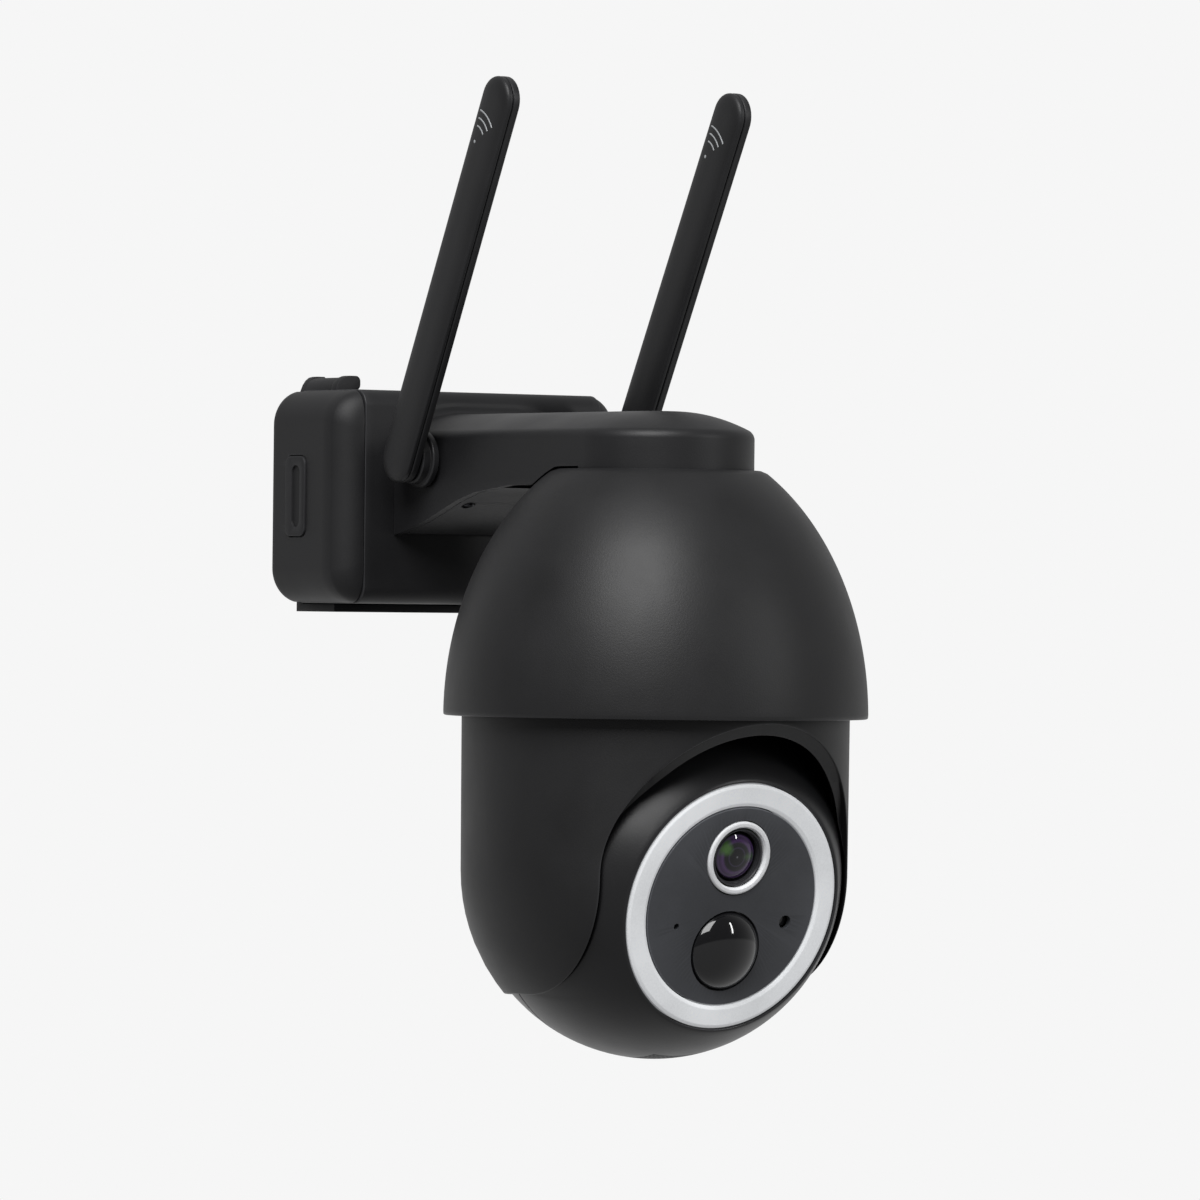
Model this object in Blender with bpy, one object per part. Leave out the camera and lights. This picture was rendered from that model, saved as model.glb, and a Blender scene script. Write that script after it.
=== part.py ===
"""Wall-mounted pan and tilt security camera with a battery box, an arm, two antennas and a hooded head.

Written in millimetres; MM turns them into Blender's metres. +X is the viewer's right seen from the
front, the front faces -Y and +Z is up. The origin is the centre of the wall bracket's back face.
"""

import math

import bmesh
import bpy
import numpy as np

MM = 0.001
GAP = 0.3
ROUND = 40  # sides of a large round piece
SMALL_ROUND = 16  # sides of a small round piece

# Battery box, back to front along -Y
BOX_HALF_X = 45.4
BOX_HALF_Z = 28.35
BOX_BACK = -3.3
BOX_FRONT = -36.5
BOX_CORNER = 9.3
CORNER_X = 7.7  # how far the rounded front corner runs in from the side
CORNER_Y = 5.2  # and how far back from the front
CORNER_ANGLE = math.radians(62)  # the arc stops short of the side face, which leaves a crease
FRONT_FILLET = 4.5
CAP_SEAM = 38.0
WALL = 2.2
REAR_COVER = 2.2

# Cells and charging port
CELL_R = 9.2
CELL_HALF = 32.5  # half a cell's length
CELL_Y = -19.5
CELL_Z = 10.2
PORT_Y = -14.7

# Wall bracket
PLATE = 3.0
LEDGE_HALF_X = 35.4
LEDGE_DEPTH = 18.5
LEDGE_THICK = 2.0
LATCH_X = -31.8
LATCH_HALF = 3.85
LATCH_BACK = -2.9
LATCH_FRONT = -18.8
LATCH_FOOT = BOX_HALF_Z + 0.15
LATCH_CROWN = BOX_HALF_Z + 4.0
LATCH_TURN_R = 1.5  # the corner that rolls over the box as the latch flips up
LATCH_PIN = (LATCH_X + LATCH_HALF - LATCH_TURN_R, LATCH_FOOT + LATCH_TURN_R)
PIN_R = 0.7
PIN_BORE = 1.0
LEAF_LOW = BOX_HALF_Z + 0.3  # underside of the latch's leaf spring
LEAF_THICK = 0.3
LEAF_X = (LATCH_X - 2.8, LATCH_X + 0.6)
LEAF_Y = (-15.0, -6.5)
WALL_HOLE_R = 2.3
WALL_HOLE_X = 22.0
WALL_HOLE_Z = 15.0

# Arm
HEAD_Y = -117.0
ARM_HALF_X = 28.85
PUCK_R = 24.8
PUCK_BOTTOM = -1.5
ARM_SIDE_TOP = 15.0
ARM_EDGE = 17.7
ARM_CROWN = 22.3
POCKET_R = 33.4
POCKET_TOP = 7.8
POCKET_GAP = 0.7  # between the hood and the arm that it turns under
LOWER_COVER = 2.0  # thickness of the cover under the arm
UNDERSIDE = [(-36.5, -10.0), (-39.6, -9.6), (-50.4, -6.4), (-64.0, -1.1), (-72.0, 1.1), (-86.6, 2.9), (-160.0, 3.4)]

# Antennas
ANTENNA_Y = -50.5
ANTENNA_Z = 9.9
ANTENNA_X = 36.0
ANTENNA_LONG = 115.0
ANTENNA_WIDE = 12.6
ANTENNA_THICK = 5.0
ANTENNA_LEAN = {"left": 25.8, "right": 27.4}

# Hood: half an ellipsoid cut off at the top
HOOD_R = 55.0
HOOD_HIGH = 73.6
HOOD_RIM = -56.8
HOOD_TOP = 7.1
HOOD_WALL = 1.9

# Head shell and ball
BALL_Z = -96.6
BALL_R = 48.6
BALL_HALF_X = 37.8
BALL_LEAN = 13.0
BALL_SEAM = 1.5
FACE = 35.5  # front plane of the ball, from its centre
CARD_HALF_X = 7.7  # half the width of the memory card's cover
SHELL_TOP_R = 50.3
SHELL_R = 50.05
SHELL_INNER_R = 49.2
SHELL_BORE = 47.4
SHELL_TOP = -44.3
SHELL_BOTTOM = BALL_Z - 33.3
OPENING_HALF_X = 38.8
DECK_TOP = -44.5
DECK_THICK = 2.0

# Gears
PAN_MODULE = 1.05
PAN_TEETH = 32
PAN_PINION_TEETH = 10
TILT_MODULE = 0.9
TILT_TEETH = 30
TILT_PINION_TEETH = 10

COLOURS = {
    "housing": (0.018, 0.018, 0.020, 0.55, 0.0),
    "rubber": (0.015, 0.015, 0.016, 0.75, 0.0),
    "steel": (0.55, 0.56, 0.58, 0.3, 1.0),
    "cell": (0.10, 0.22, 0.42, 0.4, 0.0),
    "board": (0.02, 0.10, 0.05, 0.45, 0.0),
    "gear": (0.75, 0.74, 0.70, 0.45, 0.0),
    "diffuser": (0.62, 0.63, 0.66, 0.45, 0.0),
    "face": (0.035, 0.037, 0.042, 0.35, 0.0),
    "trim": (0.72, 0.73, 0.76, 0.3, 0.0),
    "lens": (0.01, 0.01, 0.02, 0.05, 0.0),
    "dome": (0.008, 0.008, 0.009, 0.06, 0.0),
}


def clear_scene():
    for obj in list(bpy.data.objects):
        bpy.data.objects.remove(obj)


def material(name, finish):
    red, green, blue, roughness, metallic = COLOURS[finish]
    made = bpy.data.materials.new(name)
    made.use_nodes = True
    shader = made.node_tree.nodes["Principled BSDF"]
    shader.inputs["Base Color"].default_value = (red, green, blue, 1.0)
    shader.inputs["Roughness"].default_value = roughness
    shader.inputs["Metallic"].default_value = metallic
    return made


def pivot(name, place, turn=0.0):
    """An empty on a joint's axis, for the pieces that turn about it; turn is about X, in degrees."""
    empty = bpy.data.objects.new(name, None)
    empty.location = np.array(place) * MM
    empty.rotation_euler = (math.radians(turn), 0.0, 0.0)
    bpy.context.collection.objects.link(empty)
    return empty


def add(name, bm, finish=None, parent=None):
    """Turns a bmesh in millimetres into an object in metres. Without a finish it is a cutter."""
    bmesh.ops.recalc_face_normals(bm, faces=bm.faces)
    bmesh.ops.scale(bm, vec=(MM, MM, MM), verts=bm.verts)
    mesh = bpy.data.meshes.new(name)
    bm.to_mesh(mesh)
    bm.free()
    mesh.shade_smooth()
    mesh.set_sharp_from_angle(angle=math.radians(30))
    obj = bpy.data.objects.new(name, mesh)
    bpy.context.collection.objects.link(obj)
    obj.parent = parent
    if finish:
        mesh.materials.append(material(name, finish))
    else:
        obj.hide_render = True
        obj.display_type = "WIRE"
    return obj


def combine(target, operation, *others):
    for other in others:
        modifier = target.modifiers.new(other.name, "BOOLEAN")
        modifier.operation = operation
        modifier.solver = "EXACT"
        modifier.object = other
    return target


def carve(target, *cutters):
    return combine(target, "DIFFERENCE", *cutters)


def keep(target, *cutters):
    return combine(target, "INTERSECT", *cutters)


def fuse(target, *others):
    return combine(target, "UNION", *others)


def place_on(axis, along, first, second):
    """A point from its place along an axis and its two coordinates across it, in X, Y, Z order."""
    return {"X": (along, first, second), "Y": (first, along, second), "Z": (first, second, along)}[axis]


def prism(outline, low, high, axis="Z"):
    """An outline across an axis, extruded from low to high along it."""
    bm = bmesh.new()
    base = bm.faces.new([bm.verts.new(place_on(axis, low, a, b)) for a, b in outline])
    top = bmesh.ops.extrude_face_region(bm, geom=[base])
    moved = [v for v in top["geom"] if isinstance(v, bmesh.types.BMVert)]
    bmesh.ops.translate(bm, verts=moved, vec=place_on(axis, high - low, 0.0, 0.0))
    return bm


def block(low, high):
    (x0, y0, z0), (x1, y1, z1) = low, high
    return prism([(x0, y0), (x1, y0), (x1, y1), (x0, y1)], z0, z1)


def arc(centre, radius, start, end, steps):
    """Points on a circle from start to end degrees; radius may be a pair, for an ellipse."""
    wide, high = radius if isinstance(radius, tuple) else (radius, radius)
    turn = np.radians(np.linspace(start, end, steps + 1))
    return list(zip(centre[0] + wide * np.cos(turn), centre[1] + high * np.sin(turn)))


def circle(centre, radius, sides=SMALL_ROUND):
    return arc(centre, radius, 0.0, 360.0 * (1 - 1 / sides), sides - 1)


def rounded(half_a, half_b, radius, steps=5, centre=(0.0, 0.0)):
    """A rectangle with round corners, as points in order."""
    points = []
    for turn, (sa, sb) in zip((0, 90, 180, 270), ((1, 1), (-1, 1), (-1, -1), (1, -1))):
        middle = (centre[0] + sa * (half_a - radius), centre[1] + sb * (half_b - radius))
        points += arc(middle, radius, turn, turn + 90, steps)
    return points


def turned(profile, axis="Z", centre=(0.0, 0.0), sides=ROUND):
    """A closed outline of (radius, place along the axis) points, spun once round the axis."""
    bm = bmesh.new()
    rim = [bm.verts.new(place_on(axis, along, centre[0] + r, centre[1])) for r, along in profile]
    edges = [bm.edges.new((rim[i], rim[(i + 1) % len(rim)])) for i in range(len(rim))]
    bmesh.ops.spin(
        bm,
        geom=rim + edges,
        cent=place_on(axis, 0.0, *centre),
        axis=place_on(axis, 1.0, 0.0, 0.0),
        angle=2 * math.pi,
        steps=sides,
        use_merge=True,
    )
    bmesh.ops.remove_doubles(bm, verts=bm.verts, dist=1e-4)
    bmesh.ops.dissolve_degenerate(bm, dist=1e-5, edges=bm.edges)
    return bm


def rod(radius, low, high, axis="Z", centre=(0.0, 0.0), sides=SMALL_ROUND):
    return prism(circle(centre, radius, sides), low, high, axis)


def loft(rings):
    """Rings of the same number of points, joined in order and closed at both ends."""
    bm = bmesh.new()
    rows = [[bm.verts.new(point) for point in ring] for ring in rings]
    count = len(rows[0])
    for low, high in zip(rows, rows[1:]):
        for i in range(count):
            j = (i + 1) % count
            bm.faces.new((low[i], low[j], high[j], high[i]))
    bm.faces.new(rows[0][::-1])
    bm.faces.new(rows[-1])
    return bm


def gear(teeth, module, low, high, axis, centre, bore=0.0, turn=0.0):
    """A spur gear with straight-sided teeth 0.4 of a pitch wide. turn is in tooth pitches."""
    pitch_r = teeth * module / 2
    step = 2 * math.pi / teeth
    corners = ((-0.26, -1.0), (-0.14, 0.85), (0.14, 0.85), (0.26, -1.0))
    outline = []
    for tooth in range(teeth):
        for share, rise in corners:
            angle = (tooth + turn + share) * step
            radius = pitch_r + rise * module
            outline.append((centre[0] + radius * math.cos(angle), centre[1] + radius * math.sin(angle)))
    bm = prism(outline, low, high, axis)
    return bm, (rod(bore, low - 1, high + 1, axis, centre, 24) if bore else None)


def case_solid(name):
    """The whole box as rounded rectangles stacked from the back to the front face."""
    rings = []
    turns = [CORNER_ANGLE * share for share in (1.0, 0.75, 0.5, 0.25, 0.0)]
    stations = [(BOX_BACK, 0.0, 0.0)]
    for turn in turns:
        back = CORNER_Y * (1 - math.cos(turn)) / (1 - math.cos(CORNER_ANGLE))
        inward = CORNER_X * (1 - math.sin(turn) / math.sin(CORNER_ANGLE))
        rise = max(0.0, 1 - back / FRONT_FILLET)
        stations.append((BOX_FRONT + back, inward, FRONT_FILLET * (1 - math.sqrt(1 - rise**2))))
    for y, inward, down in stations:
        corner = BOX_CORNER - 0.6 * min(inward, down)
        ring = rounded(BOX_HALF_X - inward, BOX_HALF_Z - down, corner)
        rings.append([(x, y, z) for x, z in ring])
    return add(name, loft(rings), "housing")


def arm_plan(inset, rear):
    """The arm from above: straight sides narrowing to the round end about the head's axis."""
    radius = PUCK_R - inset
    half = ARM_HALF_X - inset
    length = rear - HEAD_Y
    touch = math.degrees(math.atan2(length, half) - math.acos(radius / math.hypot(half, length)))
    tip = arc((0.0, HEAD_Y), radius, touch, -180.0 - touch, 20)
    return [(half, rear)] + tip + [(-half, rear)]


def arm_solid(name, inset, bottom, top, rear, finish=None):
    """The arm as plans stacked upwards, drawn in over the edge and the crowned top."""
    levels = [(bottom, 0.0), (ARM_SIDE_TOP - top, 0.0), (16.9 - top, 0.9), (ARM_EDGE - top, 2.6)]
    levels += [(20.3 - top, 9.0), (ARM_CROWN - 0.4 - top, 16.0), (ARM_CROWN - top, 20.5)]
    rings = [[(x, y, z) for x, y in arm_plan(inset + inward, rear)] for z, inward in levels]
    return add(name, loft(rings), finish)


def build_bracket():
    hook = [
        (0.0, -BOX_HALF_Z - GAP - LEDGE_THICK),
        (-LEDGE_DEPTH, -BOX_HALF_Z - GAP - LEDGE_THICK),
        (-LEDGE_DEPTH, -BOX_HALF_Z - GAP),
        (-PLATE, -BOX_HALF_Z - GAP),
        (-PLATE, BOX_HALF_Z - 1.0),
        (0.0, BOX_HALF_Z - 1.0),
    ]
    plate = add("wall_bracket", prism(hook, -LEDGE_HALF_X, LEDGE_HALF_X, "X"), "housing")
    tab = [(x, max(z, BOX_HALF_Z - 4.0)) for x, z in latch_outline(BOX_HALF_Z - 4.0)]
    fuse(plate, add("cut_tab", prism(tab, LATCH_BACK + GAP, -0.1, "Y")))
    for sx in (-1, 1):
        for sz in (-1, 1):
            hole = rod(WALL_HOLE_R, -5, 1, "Y", (WALL_HOLE_X * sx, WALL_HOLE_Z * sz))
            carve(plate, add(f"cut_wall_hole_{sx}_{sz}", hole))
    carve(plate, add("cut_pin_hole", rod(PIN_BORE, -5, 1, "Y", LATCH_PIN)))
    add("latch_pin", rod(PIN_R, LATCH_FRONT + 1.4, -0.4, "Y", LATCH_PIN, 12), "steel")
    leaf = block((LEAF_X[0], LEAF_Y[0], LEAF_LOW), (LEAF_X[1], LEAF_Y[1], LEAF_LOW + LEAF_THICK))
    add("latch_spring", leaf, "steel")


def latch_outline(foot):
    """The latch from the front: a flat foot, a corner round its pin, and a back that falls away to the left."""
    right = LATCH_X + LATCH_HALF
    shape = [(right - LATCH_TURN_R, foot)] if foot < LATCH_FOOT else []
    shape += arc(LATCH_PIN, LATCH_TURN_R, -90, 0, 4) if foot == LATCH_FOOT else [(right, foot)]
    shape += [(right, LATCH_CROWN - 1.2), (right - 1.0, LATCH_CROWN)]
    return shape + arc((LATCH_X + 0.6, foot), (LATCH_HALF + 0.6, LATCH_CROWN - foot), 90, 180, 6)


def build_latch():
    axis = pivot("latch_axis", (LATCH_PIN[0], 0.0, LATCH_PIN[1]))
    latch = add("bracket_latch", prism(latch_outline(LATCH_FOOT), LATCH_FRONT, LATCH_BACK, "Y"), "housing")
    carve(latch, add("cut_latch_bore", rod(PIN_BORE, LATCH_FRONT + 1.1, 0.0, "Y", LATCH_PIN)))
    room_top = LEAF_LOW + LEAF_THICK + 0.35
    spring_room = block((LEAF_X[0] - 0.2, LEAF_Y[0] - GAP, 20.0), (LEAF_X[1] + 0.8, LEAF_Y[1] + GAP, room_top))
    carve(latch, add("cut_spring_room", spring_room))
    latch.data.transform(axis_shift(axis))
    latch.parent = axis


def axis_shift(empty):
    """The matrix that takes world coordinates into an unturned empty's own."""
    bpy.context.view_layer.update()
    return empty.matrix_world.inverted()


def build_box():
    rear = [(x, z) for x, z in rounded(CAP_SEAM - 1.2, BOX_HALF_Z - 0.8, 3.0)]
    add("rear_cover", prism(rear, BOX_BACK - REAR_COVER, BOX_BACK, "Y"), "housing")
    build_main_housing()
    for side, sign in (("left", -1), ("right", 1)):
        cap = case_solid(f"end_cap_{side}")
        inner, outer = CAP_SEAM + GAP / 2, BOX_HALF_X + 1
        keep(cap, add(f"cut_cap_{side}", block((min(sign * inner, sign * outer), -60, -40),
                                              (max(sign * inner, sign * outer), 10, 40))))
        hollow = (BOX_HALF_X - WALL, CAP_SEAM - 1)
        carve(cap, add(f"cut_cap_hollow_{side}", block(
            (min(sign * hollow[0], sign * hollow[1]), BOX_FRONT + CORNER_Y, -BOX_HALF_Z + 5),
            (max(sign * hollow[0], sign * hollow[1]), BOX_BACK - WALL, BOX_HALF_Z - 5))))
        if side == "left":
            build_port(cap)
    add("cell_holder", prism([(-33.6, -24.0), (-26.0, -24.0), (-26.0, 24.0), (-33.6, 24.0)], -30, 30, "X"), "rubber")
    for level, z in (("upper", CELL_Z), ("lower", -CELL_Z)):
        add(f"battery_cell_{level}", rod(CELL_R, -CELL_HALF, CELL_HALF, "X", (CELL_Y, z), 24), "cell")
        groove = add(f"cut_groove_{level}", rod(CELL_R + 0.4, -40, 40, "X", (CELL_Y, z), 24))
        carve(bpy.data.objects["cell_holder"], groove)
    board = [(-27.0, -20.0), (-8.5, -20.0), (-8.5, 20.0), (-27.0, 20.0)]
    add("charge_board", prism(board, -34.4, -33.0, "X"), "board")


def build_port(cap):
    """The charging recess in the left end: a tub behind the side face, the socket and its cover."""
    tub = add("cut_tub", block((-44.5, -19.6, -8.2), (-39.3, -9.4, 8.2)))
    fuse(cap, tub)
    carve(cap, add("cut_recess", block((-50.0, -18.2, -6.4), (-40.4, -11.2, 6.4))))
    carve(cap, add("cut_socket_way", block((-42.0, -16.8, -5.1), (-36.0, -12.6, 5.1))))
    pad = rounded(4.7 + GAP, 10.65 + GAP, 2.5, 3, (PORT_Y, 0.0))
    carve(cap, add("cut_pad_seat", prism(pad, -50.0, -44.6, "X")))
    socket = add("usb_socket", prism(rounded(1.65, 4.6, 1.6, 4, (PORT_Y, 0.0)), -40.1, -34.7, "X"), "steel")
    carve(socket, add("cut_socket", prism(rounded(1.25, 4.2, 1.2, 4, (PORT_Y, 0.0)), -45.0, -35.6, "X")))
    axis = pivot("cover_axis", (-45.5, -10.0, 0))
    cover = add("port_cover", prism(rounded(4.7, 10.65, 2.2, 3, (PORT_Y, 0.0)), -46.0, -44.9, "X"), "rubber")
    carve(cover, add("cut_finger_slot", prism(rounded(1.95, 8.25, 1.0, 3, (-15.2, 0.0)), -50.0, -45.5, "X")))
    cover.data.transform(axis_shift(axis))
    cover.parent = axis


def build_main_housing():
    """Centre of the box and the arm as one moulding, open at the back, the ends and underneath."""
    housing = case_solid("main_housing")
    seam = CAP_SEAM - GAP / 2
    keep(housing, add("cut_centre", block((-seam, -60, -40), (seam, BOX_BACK - REAR_COVER - GAP, 40))))
    carve(housing, add("cut_box_inside", block((-50, BOX_FRONT + WALL, -BOX_HALF_Z + WALL),
                                              (50, 10, BOX_HALF_Z - WALL))))
    body = arm_solid("cut_arm_body", 0.0, -10.0, 0.0, BOX_FRONT + 1.0)
    below = UNDERSIDE + [(UNDERSIDE[-1][0], -60.0), (UNDERSIDE[0][0], -60.0)]
    carve(body, add("cut_underside", prism(below, -60, 60, "X")))
    room = [(r + POCKET_GAP, z + POCKET_GAP) for r, z in hood_curve(HOOD_R, HOOD_HIGH)]
    room = [(0.0, HOOD_RIM)] + room + [(0.0, HOOD_TOP + POCKET_GAP)]
    carve(body, add("cut_pocket", turned(room, "Z", (0, HEAD_Y))))
    fuse(body, add("cut_puck", rod(PUCK_R - 0.1, PUCK_BOTTOM, 14.0, "Z", (0, HEAD_Y), ROUND)))
    fuse(housing, body)
    channel = arm_solid("cut_channel", WALL, -60.0, WALL, BOX_FRONT - 2.0)
    keep(channel, add("cut_channel_reach", block((-60, HEAD_Y + POCKET_R + 2.0, -70), (60, 0, 40))))
    over = arm_solid("cut_over_pocket", WALL + 0.1, POCKET_TOP + 2.0, WALL + 0.1, BOX_FRONT - 2.1)
    carve(housing, channel, over)
    carve(housing, add("cut_puck_inside", rod(PUCK_R - WALL, 1.0, 12.0, "Z", (0, HEAD_Y), ROUND)))
    carve(housing, add("cut_neck_bore", rod(12.4, -10, 5, "Z", (0, HEAD_Y), ROUND)))
    carve(housing, add("cut_cable_way", block((-8, BOX_FRONT - 4, 2), (8, BOX_FRONT + 4, 10))))
    carve(housing, add("cut_antenna_bores", rod(3.5, -50, 50, "X", (ANTENNA_Y, ANTENNA_Z))))
    cover = arm_solid("arm_lower_cover", WALL + GAP, -30.0, 0.0, BOX_FRONT - 2.3, "housing")
    upper = [(y, z + LOWER_COVER) for y, z in UNDERSIDE]
    band = add("cut_cover_band", prism(upper + UNDERSIDE[::-1], -60, 60, "X"))
    keep(cover, band)
    keep(cover, add("cut_cover_reach", block((-60, HEAD_Y + POCKET_R + 2.3, -40), (60, BOX_FRONT - 2.3, 40))))
    for side, sign in (("left", -1), ("right", 1)):
        at = (sign * 21.4, -61.0)
        carve(cover, add(f"cut_screw_way_{side}", rod(1.2, -10, 10, "Z", at, 12)))
        carve(cover, add(f"cut_screw_head_{side}", rod(1.9, -10, -1.0, "Z", at, 12)))
        screw = turned([(0, -2.4), (1.5, -2.4), (1.5, -1.4), (0.85, -1.4), (0.85, 6.0), (0, 6.0)], "Z", at, 12)
        add(f"cover_screw_{side}", screw, "steel")
    build_antenna_bosses()


def build_antenna_bosses():
    for side, sign in (("left", -1), ("right", 1)):
        steps = [(3.4, 28.95), (7.6, 28.95), (7.6, 30.6), (6.6, 30.9), (6.6, 32.7), (6.1, 33.1), (3.4, 33.1)]
        profile = [(r, sign * x) for r, x in steps]
        add(f"antenna_boss_{side}", turned(profile, "X", (ANTENNA_Y, ANTENNA_Z), 24), "housing")


def build_antenna(side, sign):
    """A flat paddle of two half shells on a hollow pivot, with the radiating strip inside."""
    axis = pivot(f"antenna_axis_{side}", (0, ANTENNA_Y, ANTENNA_Z), ANTENNA_LEAN[side])
    half = ANTENNA_WIDE / 2
    reach = ANTENNA_LONG - ANTENNA_WIDE
    outline = arc((0, 0), half, 180, 360, 10) + arc((0, reach), half, 0, 180, 10)
    pocket = [(-4, -2), (4, -2), (4, reach + 2), (-4, reach + 2)]
    middle, edge = ANTENNA_X, ANTENNA_THICK / 2
    spans = {
        "inner": (middle - edge, middle - GAP / 2, middle - 1.3, middle + 1),
        "outer": (middle + GAP / 2, middle + edge, middle - 1, middle + 1.3),
    }
    for name, (low, high, pocket_low, pocket_high) in spans.items():
        ends = sorted((sign * low, sign * high))
        shell = add(f"antenna_{side}_{name}", prism(outline, *ends, "X"), "housing", axis)
        ends = sorted((sign * pocket_low, sign * pocket_high))
        carve(shell, add(f"cut_{side}_{name}", prism(pocket, *ends, "X"), None, axis))
        if name == "inner":
            bore = add(f"cut_{side}_bore", rod(3.4, *sorted((sign * 30, sign * 36)), "X"), None, axis)
            carve(shell, bore)
    strip = [(-3, 8), (3, 8), (3, reach), (-3, reach)]
    ends = sorted((sign * (middle - 0.8), sign * (middle + 0.8)))
    add(f"antenna_{side}_element", prism(strip, *ends, "X"), "board", axis)
    stem = [(1.6, 23.6), (4.4, 23.6), (4.4, 24.7), (3.1, 24.7), (3.1, 34.4), (1.6, 34.4)]
    add(f"antenna_{side}_pivot", turned([(r, sign * x) for r, x in stem], "X", (0, 0), 20), "steel", axis)


def build_neck():
    centre = (0, HEAD_Y)
    ring, bore = gear(PAN_TEETH, PAN_MODULE, -6.8, PUCK_BOTTOM - GAP, "Z", centre, 12.9)
    carve(add("pan_ring_gear", ring, "gear"), add("cut_ring_bore", bore))
    hub = [(7.0, -44.2), (11.5, -44.2), (11.5, -41.8), (9.5, -41.8), (9.5, -9.0), (12.0, -9.0)]
    hub += [(12.0, 1.3), (15.5, 1.3), (15.5, 3.1), (7.0, 3.1)]
    add("neck_hub", turned(hub, "Z", centre, 24), "gear")
    axis = pivot("pan_pinion_axis", (0, HEAD_Y + pan_distance(), 0))
    pinion, _ = gear(PAN_PINION_TEETH, PAN_MODULE, -6.8, -1.8, "Z", (0, 0))
    small = add("pan_pinion", pinion, "gear", axis)
    carve(small, add("cut_pinion_bore", rod(1.3, -20, 5, "Z", (0, 0), 12), None, axis))


def pan_distance():
    return (PAN_TEETH + PAN_PINION_TEETH) * PAN_MODULE / 2


def tilt_distance():
    return (TILT_TEETH + TILT_PINION_TEETH) * TILT_MODULE / 2


def hood_curve(radius, high):
    """A quarter ellipse from the hood's rim up to its open top, as (radius, height) points."""
    end = math.degrees(math.asin((HOOD_TOP - HOOD_RIM) / high))
    return arc((0, HOOD_RIM), (radius, high), 0, end, 9)


def build_hood():
    outer = hood_curve(HOOD_R, HOOD_HIGH)
    inner = hood_curve(HOOD_R - HOOD_WALL, HOOD_HIGH - HOOD_WALL * 1.6)
    inner = [(max(r, PUCK_R + 0.6), z) for r, z in inner]
    add("hood", turned(outer + inner[::-1], "Z", (0, HEAD_Y), ROUND), "housing")


def build_head():
    low = math.degrees(math.asin((SHELL_BOTTOM - BALL_Z) / SHELL_R))
    inner_low = math.degrees(math.asin((SHELL_BOTTOM - BALL_Z) / SHELL_INNER_R))
    inner_high = math.degrees(math.acos(SHELL_BORE / SHELL_INNER_R))
    outside = [(SHELL_TOP_R, SHELL_TOP)] + arc((0, BALL_Z), SHELL_R, 0, low, 5)
    inside = arc((0, BALL_Z), SHELL_INNER_R, inner_low, inner_high, 7) + [(SHELL_BORE, SHELL_TOP)]
    shell = add("head_shell", turned(outside + inside, "Z", (0, HEAD_Y), ROUND), "housing")
    opening = [(-OPENING_HALF_X, BALL_Z - 60), (OPENING_HALF_X, BALL_Z - 60)]
    opening += arc((0, BALL_Z), OPENING_HALF_X, 0, 180, 18)
    carve(shell, add("cut_opening", prism(opening, HEAD_Y - 70, HEAD_Y, "Y")))
    deck = rod(SHELL_BORE - GAP, DECK_TOP - DECK_THICK, DECK_TOP, "Z", (0, HEAD_Y), ROUND)
    plate = add("head_deck", deck, "housing")
    carve(plate, add("cut_deck_cable", rod(7.0, -60, -40, "Z", (0, HEAD_Y))))
    for side, sign in (("left", -1), ("right", 1)):
        build_cheek(side, sign, plate)
    motor = (0, HEAD_Y + pan_distance())
    body = [(0, -44.2), (10.0, -44.2), (10.0, -14.0), (4.0, -14.0), (4.0, -10.0), (1.0, -10.0), (1.0, -1.9), (0, -1.9)]
    add("pan_motor", turned(body, "Z", motor, 24), "steel")
    add("main_board", block((-25, HEAD_Y - 39, -40.0), (25, HEAD_Y - 14, -38.4)), "board")
    cone = [(0, -44.2), (13.0, -44.2), (13.0, -41.5), (7.0, -39.0), (0, -39.0)]
    add("speaker", turned(cone, "Z", (-29.0, HEAD_Y + 6.0), 24), "housing")


def build_cheek(side, sign, deck):
    """Inner wall beside the ball, with the stub that the ball tilts on."""
    half = 25.2
    outline = [(HEAD_Y + half, DECK_TOP - DECK_THICK - GAP)]
    outline += [(HEAD_Y - half, DECK_TOP - DECK_THICK - GAP)]
    outline += arc((HEAD_Y, BALL_Z), half, 180, 360, 14)
    ends = sorted((sign * 38.15, sign * 39.75))
    wall = add(f"cheek_plate_{side}", prism(outline, *ends, "X"), "housing")
    carve(wall, add(f"cut_cheek_{side}", rod(5.3, *sorted((sign * 30, sign * 50)), "X", (HEAD_Y, BALL_Z), 20)))
    stub = [(2.5, 29.0), (5.0, 29.0), (5.0, 40.05), (8.0, 40.05), (8.0, 41.6), (2.5, 41.6)]
    add(f"tilt_stub_{side}", turned([(r, sign * x) for r, x in stub], "X", (HEAD_Y, BALL_Z), 20), "steel")
    at = (sign * 41.5, HEAD_Y - 14.0)
    screw = [(0, -44.2), (2.4, -44.2), (2.4, -42.8), (0, -42.8)]
    shank = [(0, -49.0), (1.1, -49.0), (1.1, -44.2)]
    add(f"deck_screw_{side}", turned(shank + screw[1:], "Z", at, 12), "steel")
    carve(deck, add(f"cut_deck_screw_{side}", rod(1.5, -60, -40, "Z", at, 12)))


def ball_profile(radius, half):
    """Half a ball cut flat at both sides, as (radius, x) points for turning about X."""
    end = math.degrees(math.asin(half / radius))
    rim = arc((0, 0), radius, -end, end, 10)
    return [(0, -half)] + rim + [(0, half)]


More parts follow.
